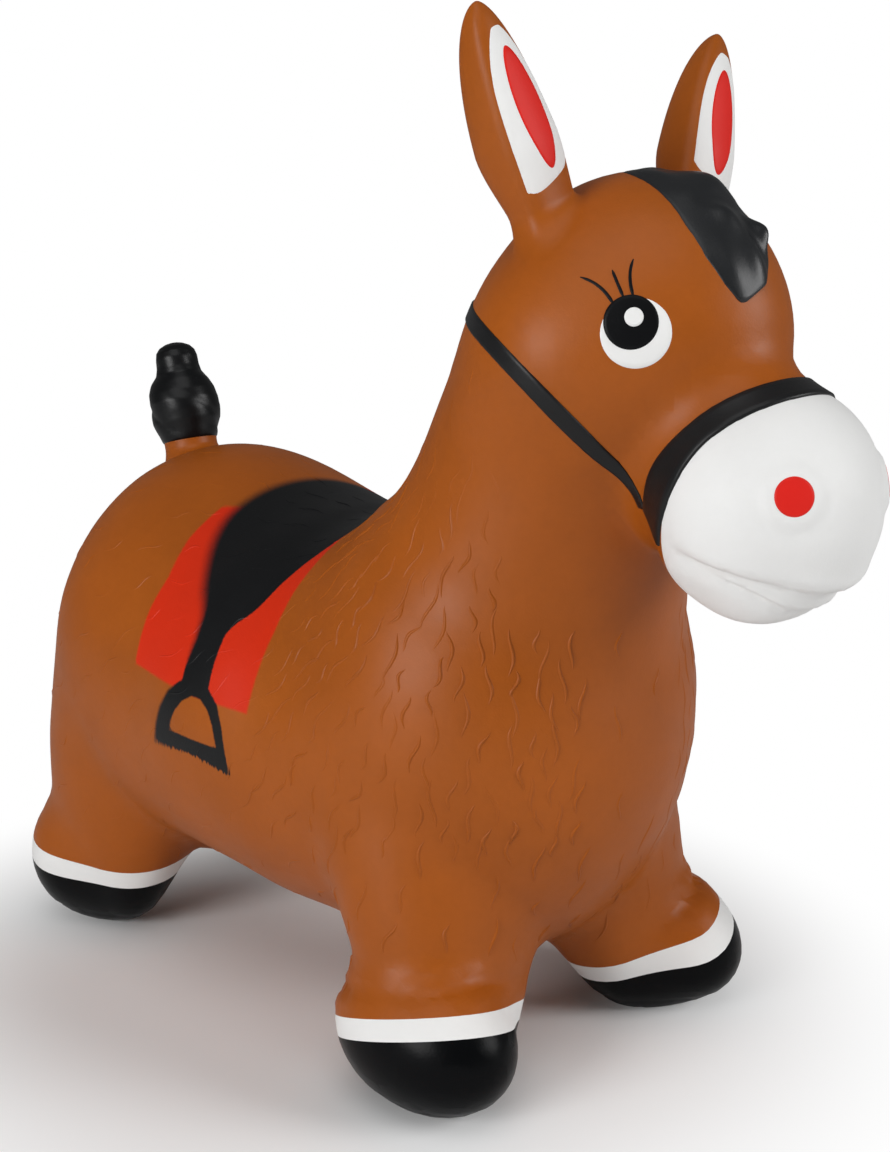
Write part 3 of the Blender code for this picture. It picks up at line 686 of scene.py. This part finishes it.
def strokePlaces(chance):
    bodyVerts = np.unique([i for face, zone in zip(formFaces, formZones) if zone == 0 for i in face])
    picked = formPoints[chance.choice(bodyVerts, strokes["tries"])]
    x, _, z = picked.T
    chin = (x > strokes["chinFrom"]) & (z > strokes["chinLow"])
    clear = (z < strokes["highest"]) & ~chin & (z > strokes["lowest"])
    for band, side in eachFoot():
        clear &= ~(nearHoof(picked, band, side) & (aboveBand(picked, band, side) < strokes["overBand"]))
    picked = picked[clear]
    kept = []
    for point, gap in zip(picked, strokeGap(picked)):
        if not kept or np.min(np.linalg.norm(np.array(kept) - point, axis=1)) > gap:
            kept.append(point)
    return np.array(kept)


def hairStrokes():
    chance = np.random.default_rng(strokes["seed"])
    at = toSkin(strokePlaces(chance))
    count = len(at)
    chest = easing(*strokes["chest"], at[:, 0])
    back = np.interp(at[:, 0], *np.array(strokes["back"]).T)
    flow = np.stack((-back, np.zeros(count), -np.ones(count)), 1)
    normal = outwards(at)
    flow = unit(flow - normal * (flow * normal).sum(1)[:, None])
    turn = chance.normal(0, strokes["turn"], count)
    flow = flow * np.cos(turn)[:, None] + np.cross(normal, flow) * np.sin(turn)[:, None]
    length = chance.uniform(*strokes["length"], count)
    phase = chance.uniform(0, 2 * math.pi, count)
    width = between(*strokes["width"], chest)
    faint = np.where(at[:, 1] > strokes["leftFrom"], strokes["leftShare"],
                     1 - strokes["neckLoss"] * easing(*strokes["neck"], at[:, 2]))
    height = between(*strokes["height"], chest) * chance.uniform(*strokes["uneven"], count) * faint
    side = np.cross(normal, flow)
    rows = []
    for step in range(strokes["steps"]):
        t = step / (strokes["steps"] - 1)
        taper = math.sin(math.pi * min(max(t, strokes["blunt"]), 1 - strokes["blunt"])) ** strokes["taper"]
        sway = strokes["sway"] * np.sin(2 * math.pi * strokes["waves"] * t + phase)
        middle = toSkin(at + flow * ((t - 0.5) * length)[:, None] + side * sway[:, None])
        out = outwards(middle)
        for across, up in strokes["section"]:
            spot = toSkin(middle + side * (across * width * taper)[:, None], 3)
            lift = up * height * taper - strokes["sink"] + relief(spot)
            rows.append(spot + out * lift[:, None])
    verts = np.stack(rows, 1).reshape(-1, 3)
    one = gridFaces(strokes["steps"], len(strokes["section"]), flip=True)
    faces = [[index + stroke * len(rows) for index in face] for stroke in range(count) for face in one]
    print("hair strokes:", count)
    return verts, faces


def paintFlanks(mesh, points):
    black, blanket = flankDistances(points)
    x, _, z = points.T
    blurred = (1 - easing(*saddle["blurredBehind"], x)) * easing(*saddle["blurredAbove"], z)
    soft = between(saddle["crisp"], saddle["blurred"], blurred)
    soft += ((saddle["overspray"] - saddle["crisp"]) * (1 - easing(*saddle["oversprayBehind"], x))
             * (1 - easing(*saddle["oversprayBelow"], z)))
    streak = saddle["streak"] * (1 - easing(*saddle["streakBelow"], z))
    layers = dict(saddleEdge=black, saddleSoft=soft, saddleStreak=streak, blanketEdge=blanket)
    for name, values in layers.items():
        layer = mesh.attributes.new(name, "FLOAT", "POINT")
        layer.data.foreach_set("value", values.astype(np.float32))


def zonePart(zone):
    faces = [face for face, own in zip(formFaces, formZones) if own == zone]
    used = np.unique(np.concatenate(faces))
    place = {int(index): new for new, index in enumerate(used)}
    return used, [[place[i] for i in face] for face in faces]


def addSkin():
    used, faces = zonePart(0)
    strokeVerts, strokeFaces = hairStrokes()
    strokeMesh = addMesh("strokes", strokeVerts, strokeFaces)
    normals = np.vstack((formNormals[used], vertexNormals(strokeMesh)))
    bpy.data.meshes.remove(strokeMesh)
    verts, allFaces = joined(((formPoints[used], faces), (strokeVerts, strokeFaces)))
    mesh = addMesh("coat", verts, allFaces)
    paintFlanks(mesh, verts)
    keepNormals(mesh, normals)
    addPiece("coat", mesh, brownSkin, "body", ("body_skin",))


def addPaintedZone(zone, name, material, node):
    used, faces = zonePart(zone)
    mesh = addMesh(name, formPoints[used], faces)
    keepNormals(mesh, formNormals[used])
    addPiece(name, mesh, material, "body", (node,))


def addFeet():
    zone = 2
    for end in hoofBands:
        for side in sides:
            foot = f"{end}_{side}"
            addPaintedZone(zone, f"pastern_{foot}", whitePaint, f"hoof_band_{foot}")
            addPaintedZone(zone + 1, f"hoof_paint_{foot}", hoofPaint, f"hoof_{foot}")
            zone += 2


addSkin()
addPaintedZone(1, "muzzle_paint", whitePaint, "muzzle")
addFeet()
print("skin split along its paint lines")


# Flat paint on the skin: thin layers that follow it, with edges that dip below it
brush = dict(sink=0.0001, discRim=1.015, lineRim=1.15, ends=9, endWidth=0.35, thinning=0.25)
eye = dict(at=(0.1962, -0.0561, 0.3914), white=0.0156, pupilAt=(0.1941, -0.0572, 0.3961), pupil=0.0121,
           glintAt=(0.1948, -0.0561, 0.3983), glint=0.0042, layer=0.00012, lashWidth=0.0015)
lashes = (
    ((0.1872, -0.0606, 0.4030), (0.1803, -0.0624, 0.4110), (0.1712, -0.0654, 0.4153)),
    ((0.1899, -0.0575, 0.4065), (0.1859, -0.0575, 0.4132), (0.1825, -0.0570, 0.4183)),
    ((0.1932, -0.0546, 0.4065), (0.1898, -0.0534, 0.4154), (0.1885, -0.0498, 0.4231)),
)


def discOnSkin(centre, radius, lift, rings=7, segments=56):
    centre = np.array(centre)
    normal = outwards(centre[None])[0]
    across = unit(np.cross((0, 0, 1), normal))
    up = np.cross(normal, across)
    spots, lifts = [centre], [lift]
    for share, angle in discSpots(rings, segments, brush["discRim"]):
        spots.append(centre + radius * share * (math.cos(angle) * across + math.sin(angle) * up))
        lifts.append(lift if share <= 1 else -brush["sink"])
    spots = toSkin(spots)
    verts = spots + outwards(spots) * (relief(spots) + np.array(lifts))[:, None]
    return verts, discFaces(rings, segments)


def lineOnSkin(path, width, lift, steps=14):  # a painted line through three points
    first, middle, last = (np.array(p) for p in path)
    control = 2 * middle - (first + last) / 2
    t = np.linspace(0, 1, steps)[:, None]
    line = toSkin((1 - t) ** 2 * first + 2 * t * (1 - t) * control + t * t * last)
    normal = outwards(line)
    across = np.cross(normal, unit(np.gradient(line, axis=0)))
    taper = np.clip(np.minimum(t, 1 - t) * brush["ends"], brush["endWidth"], 1) * (1 - brush["thinning"] * t)
    rim, sink = brush["lineRim"], brush["sink"]
    lines = []
    for offset, up in ((-rim, -sink), (-1, lift), (0, lift), (1, lift), (rim, -sink)):
        spot = toSkin(line + across * offset * taper * width / 2, 3)
        lines.append(spot + normal * (relief(spot) + up)[:, None])
    return stripMesh(lines, flip=True)


def addFace():
    layer = eye["layer"]
    lashLines = joined([lineOnSkin(path, eye["lashWidth"], layer) for path in lashes])
    glint = discOnSkin(eye["glintAt"], eye["glint"], 3 * layer, rings=3, segments=32)
    shapes = dict(
        eye_white=(discOnSkin(eye["at"], eye["white"], layer), whitePaint, "white_band"),
        eye_pupil=(discOnSkin(eye["pupilAt"], eye["pupil"], 2 * layer), blackPaint, "black_halter"),
        eye_glint=(glint, whitePaint, "white_band"),
        lashes=(lashLines, blackPaint, "black_halter"),
        nostril_dot=(discOnSkin(nostril["at"], nostril["dot"], layer), redPaint, "white_muzzle"),
    )
    for side, sign in sides.items():
        for name, (shape, material, slot) in shapes.items():
            addPiece(f"{name}_{side}", addMesh(name, *mirrored(*shape, sign)), material, "body")


addFace()
print("face painted")


# Halter straps, standing a little proud of the skin
cheek = dict(back=0.060, down=0.073, width=0.0088, endWidth=0.0055, widening=(2, 32), steps=90, smooth=4,
             high=0.0009, edge=0.16, far=0.12, aside=0.018, meets=-0.004, moreSteps=5,
             bend=((2.5, 0.1050), (8, 0.1005), (14, 0.0975), (26, 0.0974), (40, 0.0966), (56, 0.0946),
                   (71, 0.0928), (112, 0.0935)))


def strapSection(edge):  # shares of the half width, and of the height, over a strap with rounded edges
    return ((-1, -0.25), (-1 + 0.2 * edge, 0.6), (-1 + edge, 1), (-0.5, 1), (0, 1), (0.5, 1), (1 - edge, 1),
            (1 - 0.2 * edge, 0.6), (1, -0.25))


def addNoseband():
    turn = np.radians(np.linspace(-noseband["turn"], noseband["turn"], noseband["steps"]))
    direction = np.cos(turn)[:, None] * noseUp + np.sin(turn)[:, None] * np.array((0.0, 1.0, 0.0))
    rim = castOut(noseCentre + noseNormal * noseband["bowBack"], direction)
    up = (rim - noseCentre) @ noseUp
    direction, up = direction[up > -noseband["drop"]], up[up > -noseband["drop"]]
    bend = np.where(up > noseband["bowAt"], noseband["bowAbove"], noseband["bowBelow"])
    middle = noseband["bowBack"] + bend * (up - noseband["bowAt"]) ** 2
    half = between(noseband["halfTop"], noseband["halfLow"], 1 - easing(*noseband["narrowing"], up))
    lines = []
    for share, lift in strapSection(noseband["edge"]):
        start = noseCentre + (middle + share * half)[:, None] * noseNormal
        spots = castOut(start, direction)
        lines.append(spots + outwards(spots) * (lift * noseband["high"] + relief(spots))[:, None])
    mesh = addMesh("noseband_strap", *stripMesh(lines))
    addPiece("noseband_strap", mesh, strapBlackAndSheen, "body", ("noseband",))


def addCheekStraps():
    hub = centreOf("skull") - np.array((cheek["back"], 0, cheek["down"]))
    bendAt, bendRadius = np.array(cheek["bend"]).T
    degrees = np.linspace(bendAt[0], bendAt[-1], cheek["steps"])
    radius = np.pad(np.interp(degrees, bendAt, bendRadius), cheek["smooth"], mode="edge")
    window = 2 * cheek["smooth"] + 1
    radius = np.convolve(radius, np.ones(window) / window, mode="valid")
    half = 0.5 * between(cheek["endWidth"], cheek["width"], easing(*cheek["widening"], degrees))
    angle = np.radians(degrees)
    section = strapSection(cheek["edge"])
    lines = []
    for share, lift in section:
        ring = radius + share * half
        starts = hub + np.stack((ring * np.cos(angle), 0 * angle, ring * np.sin(angle)), 1)
        spots = castOut(starts, (0, -1.0, 0), cheek["far"])
        lines.append(spots + outwards(spots) * lift * cheek["high"])
    strip = np.stack(lines, 1)
    strip = strip[(strip[:, :, 1] < -cheek["aside"]).all(1)]
    heading = strip[-1] - strip[-5]
    heading *= ((cheek["meets"] - strip[-1, :, 1]) / heading[:, 1])[:, None]
    high = np.array([lift for _, lift in section])[:, None] * cheek["high"]
    for _ in range(cheek["moreSteps"]):  # on under the mane
        spots = toSkin(strip[-1] + heading / cheek["moreSteps"])
        strip = np.concatenate((strip, (spots + outwards(spots) * high)[None]))
    faces = gridFaces(len(strip), len(lines))
    for side, sign in sides.items():
        mesh = addMesh("cheek", *mirrored(strip.reshape(-1, 3), faces, sign))
        addPiece(f"cheek_piece_{side}", mesh, strapBlackAndSheen, "body", (f"cheek_strap_{side}",))


addNoseband()
addCheekStraps()
print("halter on")


# What grows out of the skin stands on a flared root
root = dict(deep=0.05, samples=160, skinPull=1.6, wallPull=1.1, sink=0.0002)


def standing(seat, leanBack, leanOut, facing):  # its seat, and the ways forwards, across and up
    up = unit(np.array((-math.tan(math.radians(leanBack)), math.tan(math.radians(leanOut)), 1.0)))
    across = unit(np.cross(up, facing))
    return seat, np.cross(across, up), across, up


def flaredRoot(wall, above, axis, margin, rings):  # from a loop on the skin up to a wall, tangent to both
    drop = np.linspace(0, root["deep"], root["samples"])
    line = wall[:, None, :] - axis * drop[None, :, None]
    value = fieldAt(line.reshape(-1, 3))[0].reshape(len(wall), -1)
    foot = toSkin(line[np.arange(len(wall)), np.argmax(value > 0, axis=1)])
    outward = wall - wall.mean(0)
    normal = outwards(foot)
    outward = unit(outward - normal * (outward * normal).sum(1)[:, None])
    skin = toSkin(foot + outward * margin)
    onSkin = unit(foot - skin) * margin * root["skinPull"]
    upWall = unit(above - wall) * np.linalg.norm(wall - foot, axis=1)[:, None] * root["wallPull"]
    loops = []
    for ring in range(rings):
        u = ring / rings
        point = ((2 * u ** 3 - 3 * u ** 2 + 1) * skin + (u ** 3 - 2 * u ** 2 + u) * onSkin
                 + (3 * u ** 2 - 2 * u ** 3) * wall + (u ** 3 - u ** 2) * upWall)
        loops.append(point - (root["sink"] * normal if ring == 0 else 0))
    return loops


# Ears: leaves with a dished front, painted white and red
ear = dict(length=0.102, width=0.0365, depth=0.039, rootWidth=0.032, rootDepth=0.027, sunk=0.008,
           backShare=0.64, square=2.6, dish=0.0030, widest=0.42, point=0.57, fullness=1.35, splay=41,
           leanBack=10, leanOut=20, turnOut=-4, flare=0.0050, wallFrom=0.165, crowding=1.25, sides=56,
           rings=44, flareRings=8)
earPaint = dict(bottom=0.235, tilt=0.040, corner=0.045, top=0.895, narrowFrom=0.45, whiteReach=0.91,
                outer=0.05, overlap=0.001, whiteSink=0.0002, redMiddle=0.545, redHalf=0.255, redReach=0.50,
                redWaist=0.94, redSwell=0.14, redRim=1.02, redSink=0.0001, layer=0.00014, across=0.01,
                along=0.004, most=0.999)


def earFrame(side):
    splay, turn = math.radians(ear["splay"]), math.radians(ear["turnOut"])
    seat = castOut(centreOf("skull"), (0, side * math.sin(splay), math.cos(splay)))[0]
    facing = np.array((math.cos(turn), side * math.sin(turn), 0))
    return standing(seat, ear["leanBack"], side * ear["leanOut"], facing)


def earHalfWidth(t):  # fullest below the middle, then drawn in to a point
    rising = between(ear["rootWidth"], ear["width"], easing(0, 1, t / ear["widest"])) / 2
    left = np.clip((1 - t) / (1 - ear["widest"]), 0, 1)
    drawn = left ** ear["point"] * (ear["fullness"] + (1 - ear["fullness"]) * left)
    return np.where(t < ear["widest"], rising, ear["width"] / 2 * drawn)


def earPoint(place, t, angle):  # angle 0 faces forwards
    seat, facing, across, up = place
    half = earHalfWidth(t)
    depth = between(ear["rootDepth"], ear["depth"], easing(0, ear["widest"], t)) * half * 2 / ear["width"]
    cosine, sine = np.cos(angle), np.sin(angle)
    behind = cosine < 0
    power = 2 / ear["square"]  # the back is squarer than the front
    cosine = np.where(behind, -abs(cosine) ** power, cosine)
    sine = np.where(behind, np.sign(sine) * abs(sine) ** power, sine)
    dish = ear["dish"] * cosine ** 2 * np.minimum(1, 4 * t * (1 - t))
    front = depth * (1 - ear["backShare"]) * cosine - dish
    through = np.where(behind, depth * ear["backShare"] * cosine, front)
    height = -ear["sunk"] + t * (ear["length"] + ear["sunk"])
    return seat + through[:, None] * facing + (half * sine)[:, None] * across + height[:, None] * up


def earMesh(place):
    angle = np.linspace(0, math.tau, ear["sides"], endpoint=False)
    rise = np.sin(np.linspace(0, math.pi / 2, ear["rings"])) ** ear["crowding"]
    heights = ear["wallFrom"] + (1 - ear["wallFrom"]) * rise
    loops = [earPoint(place, np.full(ear["sides"], t), angle) for t in heights[:-1]]
    loops = flaredRoot(loops[0], loops[1], place[3], ear["flare"], ear["flareRings"]) + loops
    return tubeMesh(loops, earPoint(place, np.ones(1), np.zeros(1))[0])


def earFront(place, t, reachAcross):  # reachAcross runs from -1 to 1 over the front
    return earPoint(place, t, np.arcsin(np.clip(reachAcross, -earPaint["most"], earPaint["most"])))


def onEarFront(place, t, reachAcross, lift):
    t, reachAcross = np.asarray(t, float), np.asarray(reachAcross, float)
    across, along = earPaint["across"], earPaint["along"]
    spot = earFront(place, t, reachAcross)
    wide = earFront(place, t, reachAcross + across) - earFront(place, t, reachAcross - across)
    high = earFront(place, t + along, reachAcross) - earFront(place, t - along, reachAcross)
    return spot + unit(np.cross(wide, high)) * np.asarray(lift)[:, None]


def earWhite(place, side, rows=44, columns=22):  # its lower end is cut aslant, lowest on the outer side
    ts, reaches, lifts = [], [], []
    for row in range(rows + 1):
        for column in range(columns + 1):
            across = column / columns * 2 - 1
            low = earPaint["bottom"] - side * earPaint["tilt"] * across + earPaint["corner"] * across ** 6
            t = between(low, earPaint["top"], row / rows)
            past = max(0.0, (t - earPaint["narrowFrom"]) / (earPaint["top"] - earPaint["narrowFrom"]))
            widest = earPaint["whiteReach"] + side * across * earPaint["outer"]
            atEdge = column in (0, columns) or row in (0, rows)
            ts.append(t)
            reaches.append(across * (widest * math.sqrt(max(0.0, 1 - past ** 4)) + earPaint["overlap"]))
            lifts.append(-earPaint["whiteSink"] if atEdge else earPaint["layer"])
    return onEarFront(place, ts, reaches, lifts), gridFaces(rows + 1, columns + 1)


def earRed(place, rings=8, segments=48):
    lift = 2 * earPaint["layer"]
    ts, reaches, lifts = [earPaint["redMiddle"]], [0.0], [lift]
    for share, angle in discSpots(rings, segments, earPaint["redRim"]):
        swelling = earPaint["redWaist"] + earPaint["redSwell"] * math.sin(angle)
        ts.append(earPaint["redMiddle"] + earPaint["redHalf"] * share * math.sin(angle))
        reaches.append(earPaint["redReach"] * share * math.cos(angle) * swelling)
        lifts.append(lift if share <= 1 else -earPaint["redSink"])
    return onEarFront(place, ts, reaches, lifts), discFaces(rings, segments)


def meltRoot(mesh, verts, around, rings):  # the shading runs on into the head's
    normals = vertexNormals(mesh)
    for ring in range(rings):
        part = slice(ring * around, (ring + 1) * around)
        share = ring / rings
        normals[part] = unit(normals[part] * share + outwards(verts[part]) * (1 - share))
    keepNormals(mesh, normals)
    return mesh


def addEars():
    for side, sign in sides.items():
        place = earFrame(sign)
        verts, faces = earMesh(place)
        leaf = meltRoot(addMesh("ear", verts, faces), verts, ear["sides"], ear["flareRings"])
        piece = addPiece(f"ear_leaf_{side}", leaf, brownBare, replaces=(f"ear_{side}",))
        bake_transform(piece)
        white = addMesh("earWhite", *earWhite(place, sign))
        addPiece(f"ear_white_{side}", white, whitePaint, f"{side}_ear")
        addPiece(f"ear_red_{side}", addMesh("earRed", *earRed(place)), redPaint, f"{side}_ear")


addEars()
print("ears on")


# Tail: a brown stub, and the black knot of twisted hair on it; heights and radii
tail = dict(pitch=111, far=0.2, lean=14, flare=0.0055, flareRings=8,
            stub=((0.0085, 0.0170), (0.0105, 0.0170), (0.0130, 0.0172)),
            knot=((0.0118, 0.0150), (0.0122, 0.0176), (0.0185, 0.0198), (0.0250, 0.0219), (0.0315, 0.0229),
                  (0.0380, 0.0230), (0.0445, 0.0216), (0.0510, 0.0187), (0.0560, 0.0150), (0.0605, 0.0140),
                  (0.0665, 0.0138), (0.0705, 0.0126), (0.0735, 0.0100), (0.0755, 0.0060), (0.0762, 0.0030)),
            tip=0.0765, locks=3, twist=95, lobe=0.7, lump=0.25, lumpTwist=240, groove=0.0017,
            grooveFrom=(0.014, 0.020), shallow=0.5, shallowFrom=(0.050, 0.060), fullRadius=0.0236,
            sides=72, rings=80)


def tailLoop(place, height, radius, groove=0.0):
    seat, ahead, across, up = place
    angle = np.linspace(0, math.tau, tail["sides"], endpoint=False)
    lobe = abs(np.sin(tail["locks"] / 2 * angle + tail["twist"] * height)) ** tail["lobe"]
    lump = tail["lump"] * groove * np.sin(2 * angle + tail["lumpTwist"] * height)
    away = (radius - groove * (1 - lobe) + lump)[:, None]
    return seat + up * height + away * np.cos(angle)[:, None] * ahead + away * np.sin(angle)[:, None] * across


def addTail():
    seat = castOut(centreOf("rump"), inProfile(tail["pitch"]), tail["far"])[0]
    place = standing(seat, tail["lean"], 0, (1.0, 0, 0))
    up = place[3]
    stub = [tailLoop(place, height, radius) for height, radius in tail["stub"]]
    loops = flaredRoot(stub[0], stub[1], up, tail["flare"], tail["flareRings"]) + stub
    mesh = addMesh("tailStub", np.vstack(loops), gridFaces(len(loops), tail["sides"], wrap=True))
    piece = addPiece("tail_stub", mesh, brownBare)
    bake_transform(piece)
    heights, radii = np.array(tail["knot"]).T
    knot = []
    for height in np.interp(np.linspace(0, 1, tail["rings"]), np.linspace(0, 1, len(heights)), heights):
        radius = float(np.interp(height, heights, radii))
        deep = (tail["groove"] * easing(*tail["grooveFrom"], height)
                * (1 - tail["shallow"] * easing(*tail["shallowFrom"], height)) * radius / tail["fullRadius"])
        knot.append(tailLoop(place, height, radius, deep))
    mesh = addMesh("tailHair", *tubeMesh(knot, seat + up * tail["tip"]))
    addPiece("tail_hair", mesh, tailPaint, "tail_knot", ("tail",))


addTail()
print("tail on")


# Forelock and mane: locks over the crest, by angle about the skull's centre and place aside from the middle
forelock = dict(
    right=((17, -0.0172), (18.5, -0.0195), (24, -0.0247), (33.5, -0.0290), (46.7, -0.0291), (61, -0.0249),
           (76, -0.0190), (90, -0.0100)),
    left=((17, -0.0158), (18.5, -0.0110), (22, 0.0005), (25, 0.0040), (30, 0.0100), (36, 0.0150),
          (46.7, 0.0185), (61, 0.0200), (76, 0.0170), (90, 0.0090)),
    locks=(  # angle, aside, length, width, height
        (61, 0.004, 0.0115, 0.0130, 0.0053), (79, -0.004, 0.0030, 0.0080, 0.0006),
        (73, -0.012, 0.0090, 0.0050, 0.0012), (56, -0.014, 0.0120, 0.0070, 0.0010),
        (46, -0.006, 0.0090, 0.0065, 0.0030), (30, -0.003, 0.0120, 0.0060, 0.0024),
        (38.5, 0.0105, 0.0070, 0.0055, 0.0052), (29, -0.017, 0.0120, 0.0055, 0.0010),
        (34, 0.004, 0.0110, 0.0034, -0.0008), (49, 0.008, 0.0040, 0.0100, -0.0010),
        (52, -0.005, 0.0045, 0.0080, -0.0014)),
    ends=(1.5, 12), thickness=0.0011, curve=0.078, rows=96, columns=52, sunk=0.0005,
)
mane = dict(start=122, end=204, count=10, inset=5, halfWidth=0.0145, least=0.0005, wave=0.0022, sway=0.0050,
            length=0.0075, width=0.0080, height=0.0075, lowering=0.03, ends=(5, 5), thickness=0.0024,
            curve=0.085, rows=150, columns=40, sunk=0.0006)
hairSheet = dict(lockEdge=2.4, lockEnds=2, hem=0.12)


def addHairSheet(name, node, sheet, degrees, edges, locks):  # moulded locks on a sheet that follows the skin
    skull = centreOf("skull")
    share = np.linspace(0, 1, sheet["columns"])
    aside = edges[0][:, None] * (1 - share) + edges[1][:, None] * share
    crest = castOut(skull, np.array([inProfile(d) for d in degrees])) - skull
    towards = np.repeat(crest[:, None, :], len(share), 1)
    towards[:, :, 1] += aside
    spots = castOut(skull, unit(towards.reshape(-1, 3)))
    dome = np.repeat(1 - (2 * share - 1)[None] ** 2, len(degrees), 0)
    first, last = sheet["ends"]
    opening = easing(degrees[0], degrees[0] + first, degrees)
    fade = (opening * (1 - easing(degrees[-1] - last, degrees[-1], degrees)))[:, None]
    lift = sheet["thickness"] * dome ** 0.5 * fade
    for angle, middle, along, across, high in locks:
        lengthwise = (np.radians(degrees - angle) * sheet["curve"] / along) ** 2
        off = lengthwise[:, None] + ((aside - middle) / across) ** 2
        lift += (high * np.exp(-off) * np.minimum(1, hairSheet["lockEdge"] * dome)
                 * np.minimum(1, hairSheet["lockEnds"] * fade))
    lift -= sheet["sunk"] * (1 - easing(0, hairSheet["hem"], dome * fade))
    verts = spots + outwards(spots) * lift.reshape(-1)[:, None]
    mesh = addMesh(name, verts, gridFaces(len(degrees), len(share)))
    addPiece(name, mesh, blackHairAndSheen, "body", (node,))


def addForelock():
    degrees = np.linspace(forelock["right"][0][0], forelock["right"][-1][0], forelock["rows"])
    edges = [np.interp(degrees, *np.array(forelock[edge]).T) for edge in ("right", "left")]
    addHairSheet("forelock_hair", "forelock", forelock, degrees, edges, forelock["locks"])


def addMane():  # locks fall to either side in turn
    span, last = mane["end"] - mane["start"], mane["count"] - 1
    degrees = np.linspace(mane["start"], mane["end"], mane["rows"])
    along = (degrees - mane["start"]) / span
    half = mane["halfWidth"] * (1 - abs(2 * along - 1) ** 6) + mane["least"]
    turn = np.pi * along * last
    edges = [side * (half + mane["wave"] * side * np.cos(turn)) for side in (-1, 1)]
    locks = []
    for index in range(mane["count"]):
        angle = mane["start"] + mane["inset"] + (span - 2 * mane["inset"]) * index / last
        aside = mane["sway"] * (1 if index % 2 else -1)
        height = mane["height"] * (1 - mane["lowering"] * index)
        locks.append((angle, aside, mane["length"], mane["width"], height))
    addHairSheet("mane_hair", "mane", mane, degrees, edges, locks)


addForelock()
addMane()
print("hair on")

for node in ("valve_seat", "valve_plug"):
    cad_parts[node].data.materials.clear()
    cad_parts[node].data.materials.append(milkyVinyl)


# Studio
studio = dict(floorSize=8.0, floorDrop=0.0003, floorColour=(0.90, 0.90, 0.90), floorRoughness=0.9,
              floorShine=0.1, clearMiddle=(-0.05, -0.03, 0), clearFrom=0.14, clearTo=0.37, worldLight=0.14)
camera = dict(at=(0.6625, -0.6156, 0.432), azimuth=46.4, down=11.65, focal=1638.0, imageHeight=1152,
              sensor=36.0, nearest=0.05)
lamps = dict(  # place, target, size, watts
    key=((0.2, -2.4, 0.9), (0.0, 0.0, 0.22), 1.3, 36.0),
    fill=((2.2, 1.2, 1.2), (0.05, 0.0, 0.25), 1.4, 34.0),
    top=((0.6, -0.9, 2.4), (0.0, 0.0, 0.25), 2.0, 14.0),
)


def floorFinish():  # pale near the toy, and plain white further off
    material, tree, shader = newMaterial("paleFloor")
    feed(tree, shader, {"Base Color": (*studio["floorColour"], 1), "Roughness": studio["floorRoughness"],
                        "Specular IOR Level": studio["floorShine"]})
    white = newNode(tree, "Emission")
    spot = newNode(tree, "VectorMath", operation="SUBTRACT")
    away = newNode(tree, "VectorMath", operation="LENGTH")
    fade = newNode(tree, "MapRange", interpolation_type="SMOOTHSTEP")
    mix = newNode(tree, "MixShader")
    feed(tree, white, {"Strength": 1.0})
    feed(tree, spot, {0: newNode(tree, "TexCoord").outputs["Object"], 1: studio["clearMiddle"]})
    feed(tree, away, {0: spot.outputs["Vector"]})
    feed(tree, fade, {"Value": away.outputs["Value"], "From Min": studio["clearFrom"],
                      "From Max": studio["clearTo"]})
    seen = newNode(tree, "LightPath").outputs["Is Camera Ray"]
    share = mathNode(tree, "MULTIPLY", fade.outputs["Result"], seen)
    feed(tree, mix, {"Fac": share, 1: shader.outputs["BSDF"], 2: white.outputs["Emission"]})
    feed(tree, tree.nodes["Material Output"], {"Surface": mix.outputs["Shader"]})
    return material


def addFloor():
    half = studio["floorSize"] / 2
    corners = [(-half, -half, 0), (half, -half, 0), (half, half, 0), (-half, half, 0)]
    mesh = addMesh("floor", corners, [(0, 1, 2, 3)])
    mesh.materials.append(floorFinish())
    floor = addObject("floor", mesh)
    floor.location.z = -studio["floorDrop"]


def addWorld():
    world = bpy.data.worlds.new("studioWorld")
    bpy.context.scene.world = world
    world.use_nodes = True
    tree = world.node_tree
    seen = newNode(tree, "LightPath").outputs["Is Camera Ray"]
    extra = mathNode(tree, "MULTIPLY", seen, 1 - studio["worldLight"])
    strength = mathNode(tree, "ADD", extra, studio["worldLight"])
    feed(tree, tree.nodes["Background"], {"Color": (1, 1, 1, 1), "Strength": strength})


def addLamps():
    for name, (place, target, size, watts) in lamps.items():
        light = bpy.data.lights.new(name, "AREA")
        light.shape = "DISK"
        light.size = size
        light.energy = watts
        lamp = addObject(name, light)
        lamp.location = place
        lamp.rotation_euler = (Vector(target) - Vector(place)).to_track_quat("-Z", "Y").to_euler()


def addCamera():
    azimuth, down = math.radians(camera["azimuth"]), math.radians(camera["down"])
    right = Vector((math.cos(azimuth), math.sin(azimuth), 0))
    ahead = Vector((-math.sin(azimuth) * math.cos(down), math.cos(azimuth) * math.cos(down), -math.sin(down)))
    data = bpy.data.cameras.new("camera")
    data.sensor_width = camera["sensor"]
    data.lens = camera["focal"] / camera["imageHeight"] * data.sensor_width
    data.clip_start = camera["nearest"]
    eyePoint = addObject("camera", data)
    axes = Matrix((right, right.cross(ahead), -ahead)).transposed()
    eyePoint.matrix_world = Matrix.Translation(camera["at"]) @ axes.to_4x4()
    bpy.context.scene.camera = eyePoint


addFloor()
addWorld()
addLamps()
addCamera()
bpy.context.scene.view_settings.view_transform = "Standard"
print("studio set")
